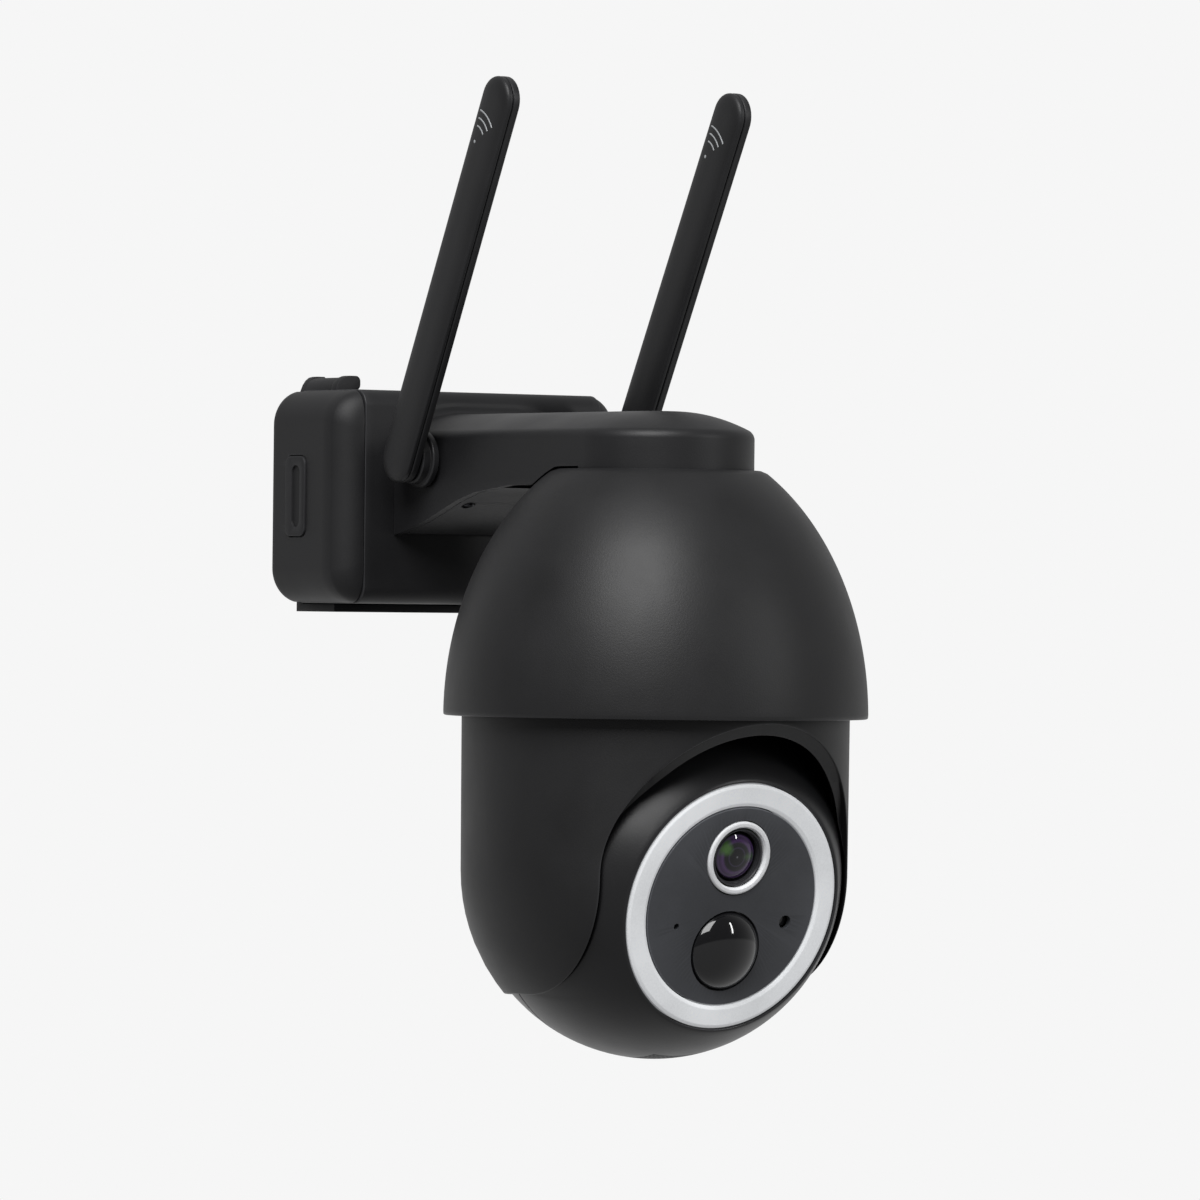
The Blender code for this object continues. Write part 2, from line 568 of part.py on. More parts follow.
def build_ball():
    axis = pivot("tilt_axis", (0, HEAD_Y, BALL_Z), BALL_LEAN)
    seam = {"front": (-FACE, BALL_SEAM - GAP / 2), "rear": (BALL_SEAM + GAP / 2, 60.0)}
    for name, (low, high) in seam.items():
        shell = add(f"ball_{name}_shell", turned(ball_profile(BALL_R, BALL_HALF_X), "X"), "housing", axis)
        keep(shell, add(f"cut_{name}_half", block((-60, low, -60), (60, high, 60)), None, axis))
        inside = turned(ball_profile(BALL_R - WALL, BALL_HALF_X - WALL), "X", (0, 0), 24)
        carve(shell, add(f"cut_{name}_inside", inside, None, axis))
        carve(shell, add(f"cut_{name}_stub_way", rod(5.4, -50, 50, "X", (0, 0), 20), None, axis))
    front = bpy.data.objects["ball_front_shell"]
    carve(front, add("cut_face_opening", rod(32.6, -60, -27, "Y", (0, 0), ROUND), None, axis))
    carve(front, add("cut_card_way", block((-8, -22, -60), (8, -10, -30)), None, axis))
    across = np.linspace(-CARD_HALF_X, CARD_HALF_X, 7)
    band = [(math.sqrt(BALL_R**2 - x**2), x) for x in across]
    band += [(math.sqrt((BALL_R - WALL) ** 2 - x**2), x) for x in across[::-1]]
    card = add("card_cover", turned(band, "X"), "rubber", axis)
    keep(card, add("cut_card_cover", block((-20, -21.7, -60), (20, -10.3, -20)), None, axis))
    build_face(axis)
    build_camera(axis)
    drive_gear, bore = gear(TILT_TEETH, TILT_MODULE, 29.3, 33.8, "X", (0, 0), 5.3)
    fixed = pivot("tilt_gear_axis", (0, HEAD_Y, BALL_Z))
    carve(add("tilt_gear", drive_gear, "gear", fixed), add("cut_tilt_bore", bore, None, fixed))
    away = math.radians(-BALL_LEAN)
    spot = (0.0, tilt_distance() * math.cos(away), tilt_distance() * math.sin(away))
    mover = pivot("tilt_pinion_axis", (0, HEAD_Y + tilt_distance(), BALL_Z))
    pinion, _ = gear(TILT_PINION_TEETH, TILT_MODULE, 29.3, 33.8, "X", (0, 0), 0.0, 0.5)
    small = add("tilt_pinion", pinion, "gear", mover)
    carve(small, add("cut_tilt_pinion_bore", rod(1.3, 20, 40, "X", (0, 0), 12), None, mover))
    body = [(0, 6.0), (9.5, 6.0), (9.5, 27.5), (0.95, 27.5), (0.95, 33.7), (0, 33.7)]
    add("tilt_motor", turned(body, "X", (spot[1], spot[2]), 24), "steel", axis)


def build_face(axis):
    ring = [(26.35, -31.0), (26.35, -35.1), (27.2, -35.6), (31.4, -35.6), (32.3, -35.1), (32.3, -31.0)]
    add("ring_diffuser", turned(ring, "Y"), "diffuser", axis)
    add("led_board", turned([(27.0, -29.6), (32.0, -29.6), (32.0, -28.2), (27.0, -28.2)], "Y"), "board", axis)
    plate = add("face_plate", rod(26.05, -35.3, -33.8, "Y", (0, 0), ROUND), "face", axis)
    holes = {"lens": (9.9, 0.0, 12.8), "pir": (10.6, 0.0, -11.8), "mic": (0.8, -16.4, -5.1), "light": (1.8, 17.6, -4.4)}
    for name, (radius, x, z) in holes.items():
        sides = 24 if radius > 5 else 12
        carve(plate, add(f"cut_hole_{name}", rod(radius, -50, -20, "Y", (x, z), sides), None, axis))
    add("microphone", rod(2.2, -33.5, -30.5, "Y", (-16.4, -5.1), 12), "rubber", axis)
    add("light_sensor", rod(1.4, -33.5, -30.5, "Y", (17.6, -4.4), 12), "lens", axis)
    dome = [(10.3 * math.cos(a), -34.2 - 5.2 * math.sin(a)) for a in np.radians(np.linspace(0, 90, 5))]
    inner = [(9.3 * math.cos(a), -34.2 - 4.4 * math.sin(a)) for a in np.radians(np.linspace(0, 90, 5))]
    outline = dome + inner[::-1] + [(9.3, -32.2), (11.4, -32.2), (11.4, -33.5), (10.3, -33.5)]
    add("pir_lens", turned(outline, "Y", (0.0, -11.8), 20), "dome", axis)
    add("pir_sensor", rod(4.6, -30.5, -24.6, "Y", (0.0, -11.8), 16), "steel", axis)


def build_camera(axis):
    at = (0.0, 12.8)
    trim = [(7.9, -33.9), (9.6, -33.9), (9.6, -35.6), (9.1, -35.9), (8.3, -35.9), (7.9, -35.4)]
    add("lens_trim_ring", turned(trim, "Y", at, 24), "trim", axis)
    barrel = [(0, -24.6), (7.5, -24.6), (7.5, -35.0), (7.1, -35.0), (6.7, -34.0), (6.7, -31.0), (0, -31.0)]
    add("lens_barrel", turned(barrel, "Y", at, 24), "housing", axis)
    glass = [(0, -31.3), (6.4, -31.3), (6.4, -32.8)] + arc((0, -32.8), (6.4, -1.8), 22.5, 90, 4)
    add("lens_glass", turned(glass, "Y", at, 16), "lens", axis)
    add("sensor_board", rod(25.0, -24.3, -22.9, "Y", (0, 0), 32), "board", axis)


clear_scene()
build_bracket()
build_latch()
build_box()
for antenna_side, antenna_sign in (("left", -1), ("right", 1)):
    build_antenna(antenna_side, antenna_sign)
build_neck()
build_hood()
build_head()
build_ball()
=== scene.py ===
import math

import bmesh
import bpy
import numpy as np
from mathutils import Matrix, Vector


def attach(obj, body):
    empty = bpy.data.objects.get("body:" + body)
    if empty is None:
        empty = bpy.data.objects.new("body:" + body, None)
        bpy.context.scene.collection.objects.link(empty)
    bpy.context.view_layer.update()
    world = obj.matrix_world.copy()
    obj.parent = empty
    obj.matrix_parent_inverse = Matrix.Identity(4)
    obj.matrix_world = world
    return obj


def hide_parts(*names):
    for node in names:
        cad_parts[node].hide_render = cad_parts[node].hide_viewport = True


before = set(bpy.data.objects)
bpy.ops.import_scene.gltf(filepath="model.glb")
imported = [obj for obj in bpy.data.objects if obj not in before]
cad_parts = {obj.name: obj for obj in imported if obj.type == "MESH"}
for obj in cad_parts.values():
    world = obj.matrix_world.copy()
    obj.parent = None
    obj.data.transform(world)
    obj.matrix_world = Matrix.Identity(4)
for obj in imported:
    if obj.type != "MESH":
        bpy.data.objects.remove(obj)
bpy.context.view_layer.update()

# ---- Wall bracket ----
# A moulded plate screwed flat to the wall, with a ledge under the box and a tab behind the latch.
# Black ABS with a fine spark-eroded texture. Its corners are broken by a small radius.


def merged(mesh, turn_out=True):
    """Joins points that lie together, drops faces with no area, and turns the faces outwards."""
    work = bmesh.new()
    work.from_mesh(mesh)
    bmesh.ops.remove_doubles(work, verts=work.verts, dist=2e-6)
    bmesh.ops.dissolve_degenerate(work, dist=1e-6, edges=work.edges)
    if turn_out:
        bmesh.ops.recalc_face_normals(work, faces=work.faces)
    work.to_mesh(mesh)
    work.free()
    return mesh


def settled(piece):
    """Keeps the mesh that the modifiers give, and takes the modifiers off."""
    graph = bpy.context.evaluated_depsgraph_get()
    graph.update()
    result = bpy.data.meshes.new_from_object(piece.evaluated_get(graph))
    piece.modifiers.clear()
    piece.data = result
    return piece


def edges_broken(piece, radius, angle=32.0, steps=3):
    """Rounds every edge sharper than the angle by a radius in mm."""
    bevel = piece.modifiers.new("edges", "BEVEL")
    bevel.width = radius * 0.001
    bevel.segments = steps
    bevel.limit_method = "ANGLE"
    bevel.angle_limit = math.radians(angle)
    bevel.use_clamp_overlap = True
    bevel.miter_outer = "MITER_ARC"
    return settled(piece)


def places_of(mesh):
    """The mesh's points in mm, one row each."""
    places = np.empty(len(mesh.vertices) * 3, np.float32)
    mesh.vertices.foreach_get("co", places)
    return places.reshape(-1, 3) * 1000.0


def with_sharpness(piece, flat_from=38.0):
    """Stores how tightly the surface bends at each point, in bends per mm, which the finishes use to make
    tight edges lighter and smoother.

    Along an edge from a to b the bend is twice the fall below a's tangent plane over the length squared.
    A point's value is the mean over its edges of the bends that curve away.
    """
    mesh = piece.data
    mesh.shade_smooth()
    mesh.set_sharp_from_angle(angle=math.radians(flat_from))
    places = places_of(mesh)
    facing = np.empty(len(mesh.vertices) * 3, np.float32)
    mesh.vertex_normals.foreach_get("vector", facing)
    facing = facing.reshape(-1, 3)
    ends = np.empty(len(mesh.edges) * 2, np.int32)
    mesh.edges.foreach_get("vertices", ends)
    ends = ends.reshape(-1, 2)
    total = np.zeros(len(places))
    count = np.zeros(len(places))
    for first, second in ((0, 1), (1, 0)):
        a, b = ends[:, first], ends[:, second]
        step = places[b] - places[a]
        fall = -(step * facing[a]).sum(1)
        bend = 2 * fall / np.maximum((step**2).sum(1), 1e-3)
        np.add.at(total, a, np.clip(bend, 0, 3))
        np.add.at(count, a, 1)
    layer = mesh.attributes.new("sharpness", "FLOAT", "POINT")
    layer.data.foreach_set("value", (total / np.maximum(count, 1)).astype(np.float32))
    return piece


def linked(name, data):
    """A new object of the scene."""
    made = bpy.data.objects.new(name, data)
    bpy.context.collection.objects.link(made)
    return made


def refined(node, radius):
    """A merged copy of a CAD solid with its edges rounded by a radius in mm."""
    mesh = merged(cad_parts[node].data.copy(), turn_out=False)
    work = bmesh.new()
    work.from_mesh(mesh)
    bmesh.ops.dissolve_limit(work, angle_limit=math.radians(0.5), verts=work.verts, edges=work.edges)
    work.to_mesh(mesh)
    work.free()
    mesh.materials.clear()
    return edges_broken(linked(node + "_finished", mesh), radius)


def fitted(piece, body, slot_name, finish, *nodes):
    """Gives a piece its finish and its body, and puts it in place of its CAD solids."""
    with_sharpness(piece)
    piece.data.materials.clear()
    piece.data.materials.append(finish)
    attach(piece, body)
    if nodes:
        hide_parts(*nodes)
    return piece


def refitted(node, radius, body, slot_name, finish):
    """Puts the merged copy of a CAD solid, with its edges rounded, in its place."""
    return fitted(refined(node, radius), body, slot_name, finish, node)


def shader_node(tree, kind, inputs, **settings):
    """A new shader node. Each input is a value, or the output socket that feeds it."""
    node = tree.nodes.new("ShaderNode" + kind)
    for setting, value in settings.items():
        setattr(node, setting, value)
    for socket, value in inputs.items():
        if isinstance(value, bpy.types.NodeSocket):
            tree.links.new(value, node.inputs[socket])
        else:
            node.inputs[socket].default_value = value
    return node


def maths(tree, operation, *values):
    """The result of one sum on values or output sockets."""
    return shader_node(tree, "Math", dict(enumerate(values)), operation=operation).outputs[0]


def remap(tree, value, start, end, to_start=0.0, to_end=1.0, curve="LINEAR"):
    """The value carried from one range to another, and held at its ends."""
    inputs = {"Value": value, "From Min": start, "From Max": end, "To Min": to_start, "To Max": to_end}
    return shader_node(tree, "MapRange", inputs, interpolation_type=curve).outputs["Result"]


def tuned(finish, values):
    """Sets a material's own shader sockets to these values."""
    for socket, value in values.items():
        finish.node_tree.nodes["Principled BSDF"].inputs[socket].default_value = value
    return finish


def colour_ramp(tree, fac, stops):
    """The colour of a ramp with these (position, red, green, blue) stops."""
    node = shader_node(tree, "ValToRGB", {"Fac": fac})
    ramp = node.color_ramp
    while len(ramp.elements) < len(stops):
        ramp.elements.new(0.5)
    for element, (position, *colour) in zip(ramp.elements, stops):
        element.position = position
        element.color = (*colour, 1)
    return node.outputs["Color"]


def moulded_plastic(
    name, colour, rough, grain=0.00006, grain_size=0.45, edge_light=1.9, edge_rough=-0.10, specular=0.32
):
    """Moulded plastic: a spark-eroded grain as bump, cloudy colour and gloss, and tight edges made lighter.

    Colour is the base times a cloud of 20 mm and a speck of the grain. Where the surface bends tighter
    than about 0.3 per mm, it is mixed with a lighter, smoother tone, broken up by the cloud.
    """
    made = bpy.data.materials.new(name)
    made.use_nodes = True
    tuned(made, {"Specular IOR Level": specular})
    tree = made.node_tree
    shader = tree.nodes["Principled BSDF"]
    place = tree.nodes.new("ShaderNodeTexCoord").outputs["Object"]
    fine = {"Vector": place, "Scale": 1000.0 / grain_size, "Detail": 3.0, "Roughness": 0.6}
    fine = shader_node(tree, "TexNoise", fine).outputs["Fac"]
    cloud = shader_node(tree, "TexNoise", {"Vector": place, "Scale": 48.0, "Detail": 4.0}).outputs["Fac"]
    bump = shader_node(tree, "Bump", {"Strength": 0.55, "Distance": grain, "Height": fine})
    tree.links.new(bump.outputs["Normal"], shader.inputs["Normal"])
    speck = maths(tree, "MULTIPLY_ADD", fine, 0.3, maths(tree, "MULTIPLY", cloud, 0.7))
    dark, light = [c * 0.82 for c in colour], [c * 1.2 for c in colour]
    tone = colour_ramp(tree, speck, [(0.3, *dark), (0.72, *light)])
    # Tight edges get a lighter, smoother tone, broken up by the cloud.
    bend = shader_node(tree, "Attribute", {}, attribute_name="sharpness").outputs["Fac"]
    tight_edge_share = remap(tree, bend, 0.15, 1.6)
    edge_tone = (*[c * edge_light * 2 for c in colour], 1)
    edge_mix = {"Factor": maths(tree, "MULTIPLY", tight_edge_share, cloud), "A": tone, "B": edge_tone}
    edge_mix = shader_node(tree, "Mix", edge_mix, data_type="RGBA").outputs["Result"]
    tree.links.new(edge_mix, shader.inputs["Base Color"])
    gloss = remap(tree, cloud, 0.3, 0.7, rough - 0.04, rough + 0.05)
    tree.links.new(maths(tree, "MULTIPLY_ADD", tight_edge_share, edge_rough, gloss), shader.inputs["Roughness"])
    return made


bracket_black = moulded_plastic("bracket_black", (0.010, 0.010, 0.011), 0.58)
refitted("wall_bracket", 0.35, "wall_unit", "bracket_plastic", bracket_black)

# ---- Latch, its pin and its spring ----
# A finger-wide toggle that locks the box to the bracket: a D-shaped bar with a flange at each end.
# Moulded in the same black; it turns on a steel pin and rests on a steel leaf spring.


def surface(name, points, wrap_rows=False, wrap_columns=False):
    """A mesh on a grid of points in mm: each point is joined to its neighbours along both directions.

    Rows or columns that wrap are joined back to the first one. Points that meet, as at a pole, are merged.
    """
    rows, columns = points.shape[:2]
    index = np.arange(rows * columns).reshape(rows, columns)
    if wrap_rows:
        index = np.vstack([index, index[:1]])
    if wrap_columns:
        index = np.hstack([index, index[:, :1]])
    quads = np.stack([index[:-1, :-1], index[1:, :-1], index[1:, 1:], index[:-1, 1:]], -1).reshape(-1, 4)
    mesh = bpy.data.meshes.new(name)
    mesh.vertices.add(rows * columns)
    mesh.vertices.foreach_set("co", (points.reshape(-1) * 0.001).astype(np.float32))
    mesh.loops.add(quads.size)
    mesh.loops.foreach_set("vertex_index", quads.reshape(-1).astype(np.int32))
    mesh.polygons.add(len(quads))
    mesh.polygons.foreach_set("loop_start", np.arange(0, quads.size, 4, dtype=np.int32))
    mesh.update(calc_edges=True)
    mesh.validate()
    return linked(name, merged(mesh))


def filled(piece):
    """Closes each open edge loop with one flat face."""
    work = bmesh.new()
    work.from_mesh(piece.data)
    bmesh.ops.holes_fill(work, edges=[edge for edge in work.edges if edge.is_boundary], sides=0)
    bmesh.ops.recalc_face_normals(work, faces=work.faces)
    work.to_mesh(piece.data)
    work.free()
    return piece


def cut(piece, *cutters):
    """Takes the cutters' shapes out of a piece, and removes the cutters."""
    for cutter in cutters:
        taken = piece.modifiers.new("cut", "BOOLEAN")
        taken.operation = "DIFFERENCE"
        taken.solver = "EXACT"
        taken.object = cutter
    settled(piece)
    for cutter in cutters:
        bpy.data.objects.remove(cutter)
    return piece


def arc_steps(start, end, steps):
    """Evenly spaced angles from start to end in degrees, given in radians."""
    return np.radians(np.linspace(start, end, steps))


def turned(name, profile, axis="Z", centre=(0.0, 0.0), sides=96):
    """A closed outline of (radius, place along the axis) points in mm, carried once round the axis."""
    profile = np.array(profile, float)
    around = arc_steps(0, 360, sides + 1)[:-1]
    radius, along = profile[:, :1], np.repeat(profile[:, 1:], sides, 1)
    first = radius * np.cos(around) + centre[0]
    second = radius * np.sin(around) + centre[1]
    order = {"X": (along, first, second), "Y": (first, along, second), "Z": (first, second, along)}[axis]
    return surface(name, np.stack(order, -1), wrap_rows=True, wrap_columns=True)


def rounded_profile(corners, radii, steps=5):
    """A closed outline with each corner replaced by an arc of its own radius, tangent to both sides."""
    corners = np.array(corners, float)
    points = []
    for here, before, after, radius in zip(corners, np.roll(corners, 1, 0), np.roll(corners, -1, 0), radii):
        into, out = before - here, after - here
        into, out = into / np.linalg.norm(into), out / np.linalg.norm(out)
        if radius <= 0:
            points.append(here)
            continue
        half = math.acos(np.clip(into @ out, -1, 1)) / 2
        back = radius / math.tan(half)
        middle = here + (into + out) / np.linalg.norm(into + out) * radius / math.sin(half)
        start, end = here + into * back - middle, here + out * back - middle
        turn = math.atan2(start[0] * end[1] - start[1] * end[0], start @ end)
        for share in np.linspace(0, 1, steps):
            c, s = math.cos(turn * share), math.sin(turn * share)
            points.append(middle + np.array([c * start[0] - s * start[1], s * start[0] + c * start[1]]))
    return np.array(points)


def stadium(half_wide, low, high, steps=16):
    """An outline with straight sides and round ends, as (across, along) points in order."""
    foot, head = arc_steps(180, 360, steps), arc_steps(0, 180, steps)
    across = np.concatenate([half_wide * np.cos(foot), half_wide * np.cos(head)])
    along = np.concatenate([low + half_wide * np.sin(foot), high + half_wide * np.sin(head)])
    return across, along


def block_way(name, low, high):
    """A block between two corners, as a ring of four corners at each end, closed with flat faces."""
    (x0, y0, z0), (x1, y1, z1) = low, high
    rings = [[(x, y0, z0), (x, y1, z0), (x, y1, z1), (x, y0, z1)] for x in (x0, x1)]
    return filled(surface(name, np.array(rings, float), wrap_columns=True))


latch_x, latch_foot, latch_half, latch_pin = -31.8, 28.5, 3.85, (-29.45, 30.0)
profile = [(latch_pin[0] + 1.5 * math.cos(a), latch_pin[1] + 1.5 * math.sin(a)) for a in arc_steps(-90, 0, 8)]
corner_x = latch_x + latch_half - 1.4
profile += [(corner_x + 1.4 * math.cos(a), 30.95 + 1.4 * math.sin(a)) for a in arc_steps(10, 90, 8)]
back_x = latch_x + 0.6
profile += [(back_x + 4.45 * math.cos(a), latch_foot + 3.85 * math.sin(a)) for a in arc_steps(90, 180, 16)]
profile = np.array(profile)
middle = np.array([latch_x, latch_foot])
stations = [(-2.9, 0.0), (-2.9, 0.86), (-3.0, 0.89), (-15.6, 0.89), (-15.9, 0.90), (-16.1, 0.97)]
stations += [(-16.4, 1.0), (-18.5, 1.0), (-18.72, 0.98), (-18.8, 0.93), (-18.8, 0.0)]
rings = [[(x, y, z) for x, z in middle + (profile - middle) * share] for y, share in stations]
latch = surface("latch_bar", np.array(rings), wrap_columns=True)
pin_way = turned("pin_way", [(0, -17.7), (1.0, -17.7), (1.0, 0), (0, 0)], "Y", latch_pin, 24)
spring_way = block_way("spring_way", (latch_x - 3.0, -15.3, 20), (latch_x + 1.4, -6.2, 29.3))
latch = cut(latch, pin_way, spring_way)
fitted(latch, "latch", "bracket_plastic", bracket_black, "bracket_latch")


def bare_steel(name, colour, rough):
    """Drawn or turned steel: a very fine grain, with faint stains and lighter edges."""
    return tuned(moulded_plastic(name, colour, rough, 0.00001, 0.25, 0.6, -0.08), {"Metallic": 1.0})


def dressed(finish, *nodes):
    """Gives CAD solids a finish in their own slots."""
    for node in nodes:
        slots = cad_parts[node].data.materials
        for place in range(len(slots)):
            slots[place] = finish


steel = bare_steel("bright_steel", (0.42, 0.43, 0.45), 0.32)
refitted("latch_pin", 0.15, "wall_unit", "steel", steel)
dressed(steel, "latch_spring")

# ---- Rear cover of the box ----
# A flat moulded lid between the end caps, welded to the box centre before the box meets the bracket.
# Same black as the box, with a small radius on its rim; it reaches to 0.3 mm from the end caps.

box_black = moulded_plastic("box_black", (0.0125, 0.0125, 0.0135), 0.52)
lid_half, lid_half_in_cad = 37.85, 36.8
rear_lid = refined("rear_cover", 0.5)
rear_lid.data.transform(Matrix.Diagonal((lid_half / lid_half_in_cad, 1.0, 1.0, 1.0)))
fitted(rear_lid, "wall_unit", "box_plastic", box_black, "rear_cover")

# ---- Centre of the box ----
# A C-shaped shell 2.2 mm thick that runs between the two end caps, with round front edges.
# Injection moulded in one piece with the arm; the seams to the caps show as thin bright lines.

box_half_x, box_half_z, box_back, box_front, box_corner = 45.4, 28.35, -3.3, -36.5, 9.3
front_fillet, cap_seam, half_gap, wall = 4.5, 38.0, 0.15, 2.2
c_corners = [(-5.8, box_half_z), (box_front, box_half_z), (box_front, -box_half_z), (-5.8, -box_half_z)]
c_corners += [(-5.8, -box_half_z + wall), (box_front + wall, -box_half_z + wall)]
c_corners += [(box_front + wall, box_half_z - wall), (-5.8, box_half_z - wall)]
c_section = rounded_profile(c_corners, [0, front_fillet, front_fillet, 0, 0, 2.3, 2.3, 0], 12)
stations = np.linspace(-cap_seam + half_gap, cap_seam - half_gap, 30)
rings = [[(x, y, z) for y, z in c_section] for x in stations]
centre = filled(surface("box_centre", np.array(rings), wrap_columns=True))
centre = edges_broken(centre, 0.3, 60)
fitted(centre, "wall_unit", "box_plastic", box_black)

# ---- End caps of the box ----
# Two moulded caps with a flat side, a crease and a drawn-in front corner, snapped over the centre.
# The left one is cut through for the charging recess.


def cap_ring(half_x, half_z, corner):
    """The part of a rounded rectangle beyond the seam, from its top seam point round to its bottom one.

    The top quarter is a straight run, an arc of the corner radius and the side down to the middle;
    the bottom quarter mirrors it. Points are spread evenly by arc length over each part.
    """
    seam = cap_seam + half_gap
    centre_x, centre_z = half_x - corner, half_z - corner
    start = 90.0 if seam <= centre_x else math.degrees(math.acos(min(1.0, (seam - centre_x) / corner)))
    angles = arc_steps(start, 0, 26)
    arc_x, arc_z = centre_x + corner * np.cos(angles), centre_z + corner * np.sin(angles)
    run = np.linspace(seam, max(seam, centre_x), 5)[:-1]
    top_x = np.concatenate([run, arc_x])
    top_z = np.concatenate([np.full(4, arc_z[0] if seam > centre_x else half_z), arc_z])
    side = np.linspace(top_z[-1], 0, 14)[1:]
    x = np.concatenate([top_x, np.full(13, half_x)])
    z = np.concatenate([top_z, side])
    return np.concatenate([x, x[-2::-1]]), np.concatenate([z, -z[-2::-1]])


def cap_outside():
    """Cap rings stacked from the back to the front.

    Half width falls by a round corner 7.7 mm wide and 5.2 mm deep whose arc stops at 62 degrees, which
    leaves the crease. Half height falls by the front fillet, a quarter circle.
    """
    corner_wide, corner_deep, turn_end = 7.7, 5.2, math.radians(62)
    seam = cap_seam + half_gap
    x, z = cap_ring(box_half_x, box_half_z, box_corner)
    closing = [seam + (x - seam) * share for share in (0.0, 0.25, 0.5, 0.75)]
    grid = [np.stack([row, np.full_like(x, box_back), z], -1) for row in closing]
    for y in (box_back, box_back - 1.4, -10, -16, -22, -27, box_front + corner_deep):
        grid.append(np.stack([x, np.full_like(x, y), z], -1))
    for turn in np.linspace(turn_end, 0.0, 14)[1:]:
        back = corner_deep * (1 - math.cos(turn)) / (1 - math.cos(turn_end))
        inward = corner_wide * (1 - math.sin(turn) / math.sin(turn_end))
        if box_half_x - inward <= seam:
            break
        rise = max(0.0, 1 - back / front_fillet)
        down = front_fillet * (1 - math.sqrt(1 - rise**2))
        x, z = cap_ring(box_half_x - inward, box_half_z - down, box_corner - 0.6 * min(inward, down))
        grid.append(np.stack([x, np.full_like(x, box_front + back), z], -1))
    last = grid[-1].copy()
    last[:, 0], last[:, 1] = seam, box_front + 0.05
    grid.append(last)
    return np.array(grid)


def rounded_block(name, half_y, half_z, corner, centre_y, levels):
    """A rounded rectangle across X, stacked by (x, inset) levels and closed at both ends."""
    rings = []
    for x, inset in levels:
        r = max(corner - inset, 0.05)
        y, z = half_y - inset - r, half_z - inset - r
        angles = np.concatenate([arc_steps(a, a + 90, 9) for a in (0, 90, 180, 270)])
        mid_y = np.repeat([y, -y, -y, y], 9) * (inset < half_y)
        mid_z = np.repeat([z, z, -z, -z], 9)
        ring_y, ring_z = centre_y + mid_y + r * np.cos(angles), mid_z + r * np.sin(angles)
        rings.append(np.stack([np.full(36, x), ring_y, ring_z], -1))
    for end in (0, -1):
        flat = rings[end].copy()
        flat[:, 1] = centre_y
        flat[:, 2] = np.clip(flat[:, 2], -half_z + half_y, half_z - half_y)
        rings.insert(0, flat) if end == 0 else rings.append(flat)
    return surface(name, np.array(rings), wrap_columns=True)


port_y = -14.7
for side, sign in (("left", -1), ("right", 1)):
    cap = cap_outside()
    cap[..., 0] *= sign
    cap = filled(surface(f"box_cap_{side}", cap))
    cap = edges_broken(cap, 0.3, 50)
    if side == "left":
        seat = rounded_block("seat", 5.0, 10.95, 2.5, port_y, [(-50, 0), (-44.6, 0)])
        recess = rounded_block("recess", 3.5, 6.4, 1.2, port_y, [(-50, 0), (-40.4, 0)])
        cap = cut(cap, seat, recess)
    fitted(cap, "wall_unit", "box_plastic", box_black, f"end_cap_{side}")

# ---- Charging port ----
# A steel socket on the charge board sits at the bottom of the recess in the left cap.
# A rubber cover with a finger slot plugs the recess and swings on its own rubber hinge.

port_rubber = moulded_plastic("port_rubber", (0.0105, 0.0105, 0.0115), 0.60, 0.00004, 0.6)
pad = [(-44.9, 0.35), (-45.1, 0.0), (-45.7, 0.0), (-45.9, 0.1), (-46.0, 0.38)]
cover = rounded_block("port_pad", 4.7, 10.65, 2.2, port_y, pad)
slot_way = rounded_block("slot_way", 1.95, 8.25, 1.94, port_y - 0.5, [(-50, 0), (-45.45, 0)])
cover = edges_broken(cut(cover, slot_way), 0.15, 55, 2)
fitted(cover, "charge_cover", "rubber", port_rubber, "port_cover")
refitted("usb_socket", 0.12, "wall_unit", "steel", steel)


def circuit(name):
    """A lacquered board: green with a fine web of copper tracks under the lacquer."""
    made = moulded_plastic(name, (0.012, 0.075, 0.030), 0.34, 0.00003, 1.1, 1.2)
    tree = made.node_tree
    place = tree.nodes["Texture Coordinate"].outputs["Object"]
    tracks = {"Vector": place, "Scale": 260.0, "Mortar Size": 0.06}
    tracks |= {"Color1": (0.010, 0.060, 0.024, 1), "Color2": (0.016, 0.095, 0.040, 1)}
    tracks |= {"Mortar": (0.10, 0.13, 0.03, 1)}
    tracks = shader_node(tree, "TexBrick", tracks).outputs["Color"]
    tree.links.new(tracks, tree.nodes["Principled BSDF"].inputs["Base Color"])
    return made


board_green = circuit("board_green")
dressed(board_green, "charge_board")

# ---- Battery cells and their holder ----
# Two cylindrical cells in a shrink-wrapped sleeve, held in a grooved rubber cradle behind the front wall.
# They are out of sight inside the box.

cell_blue = moulded_plastic("cell_sleeve", (0.05, 0.13, 0.30), 0.30, 0.00002, 0.9, 1.4)
dressed(cell_blue, "battery_cell_upper", "battery_cell_lower")
dressed(port_rubber, "cell_holder")

# ---- Arm ----
# A hollow bracket arm moulded with the box: straight sides, a soft shoulder and a crowned top that
# sweeps up into the box front. Its round end covers the neck. Black, a little smoother than the box.

head_y, arm_start, arm_half, puck_r = -117.0, -35.5, 28.85, 24.8
under_y = [-160.0, -86.6, -72.0, -64.0, -50.4, -39.6, -36.5]
under_z = [3.4, 2.9, 1.1, -1.1, -6.4, -9.6, -10.0]


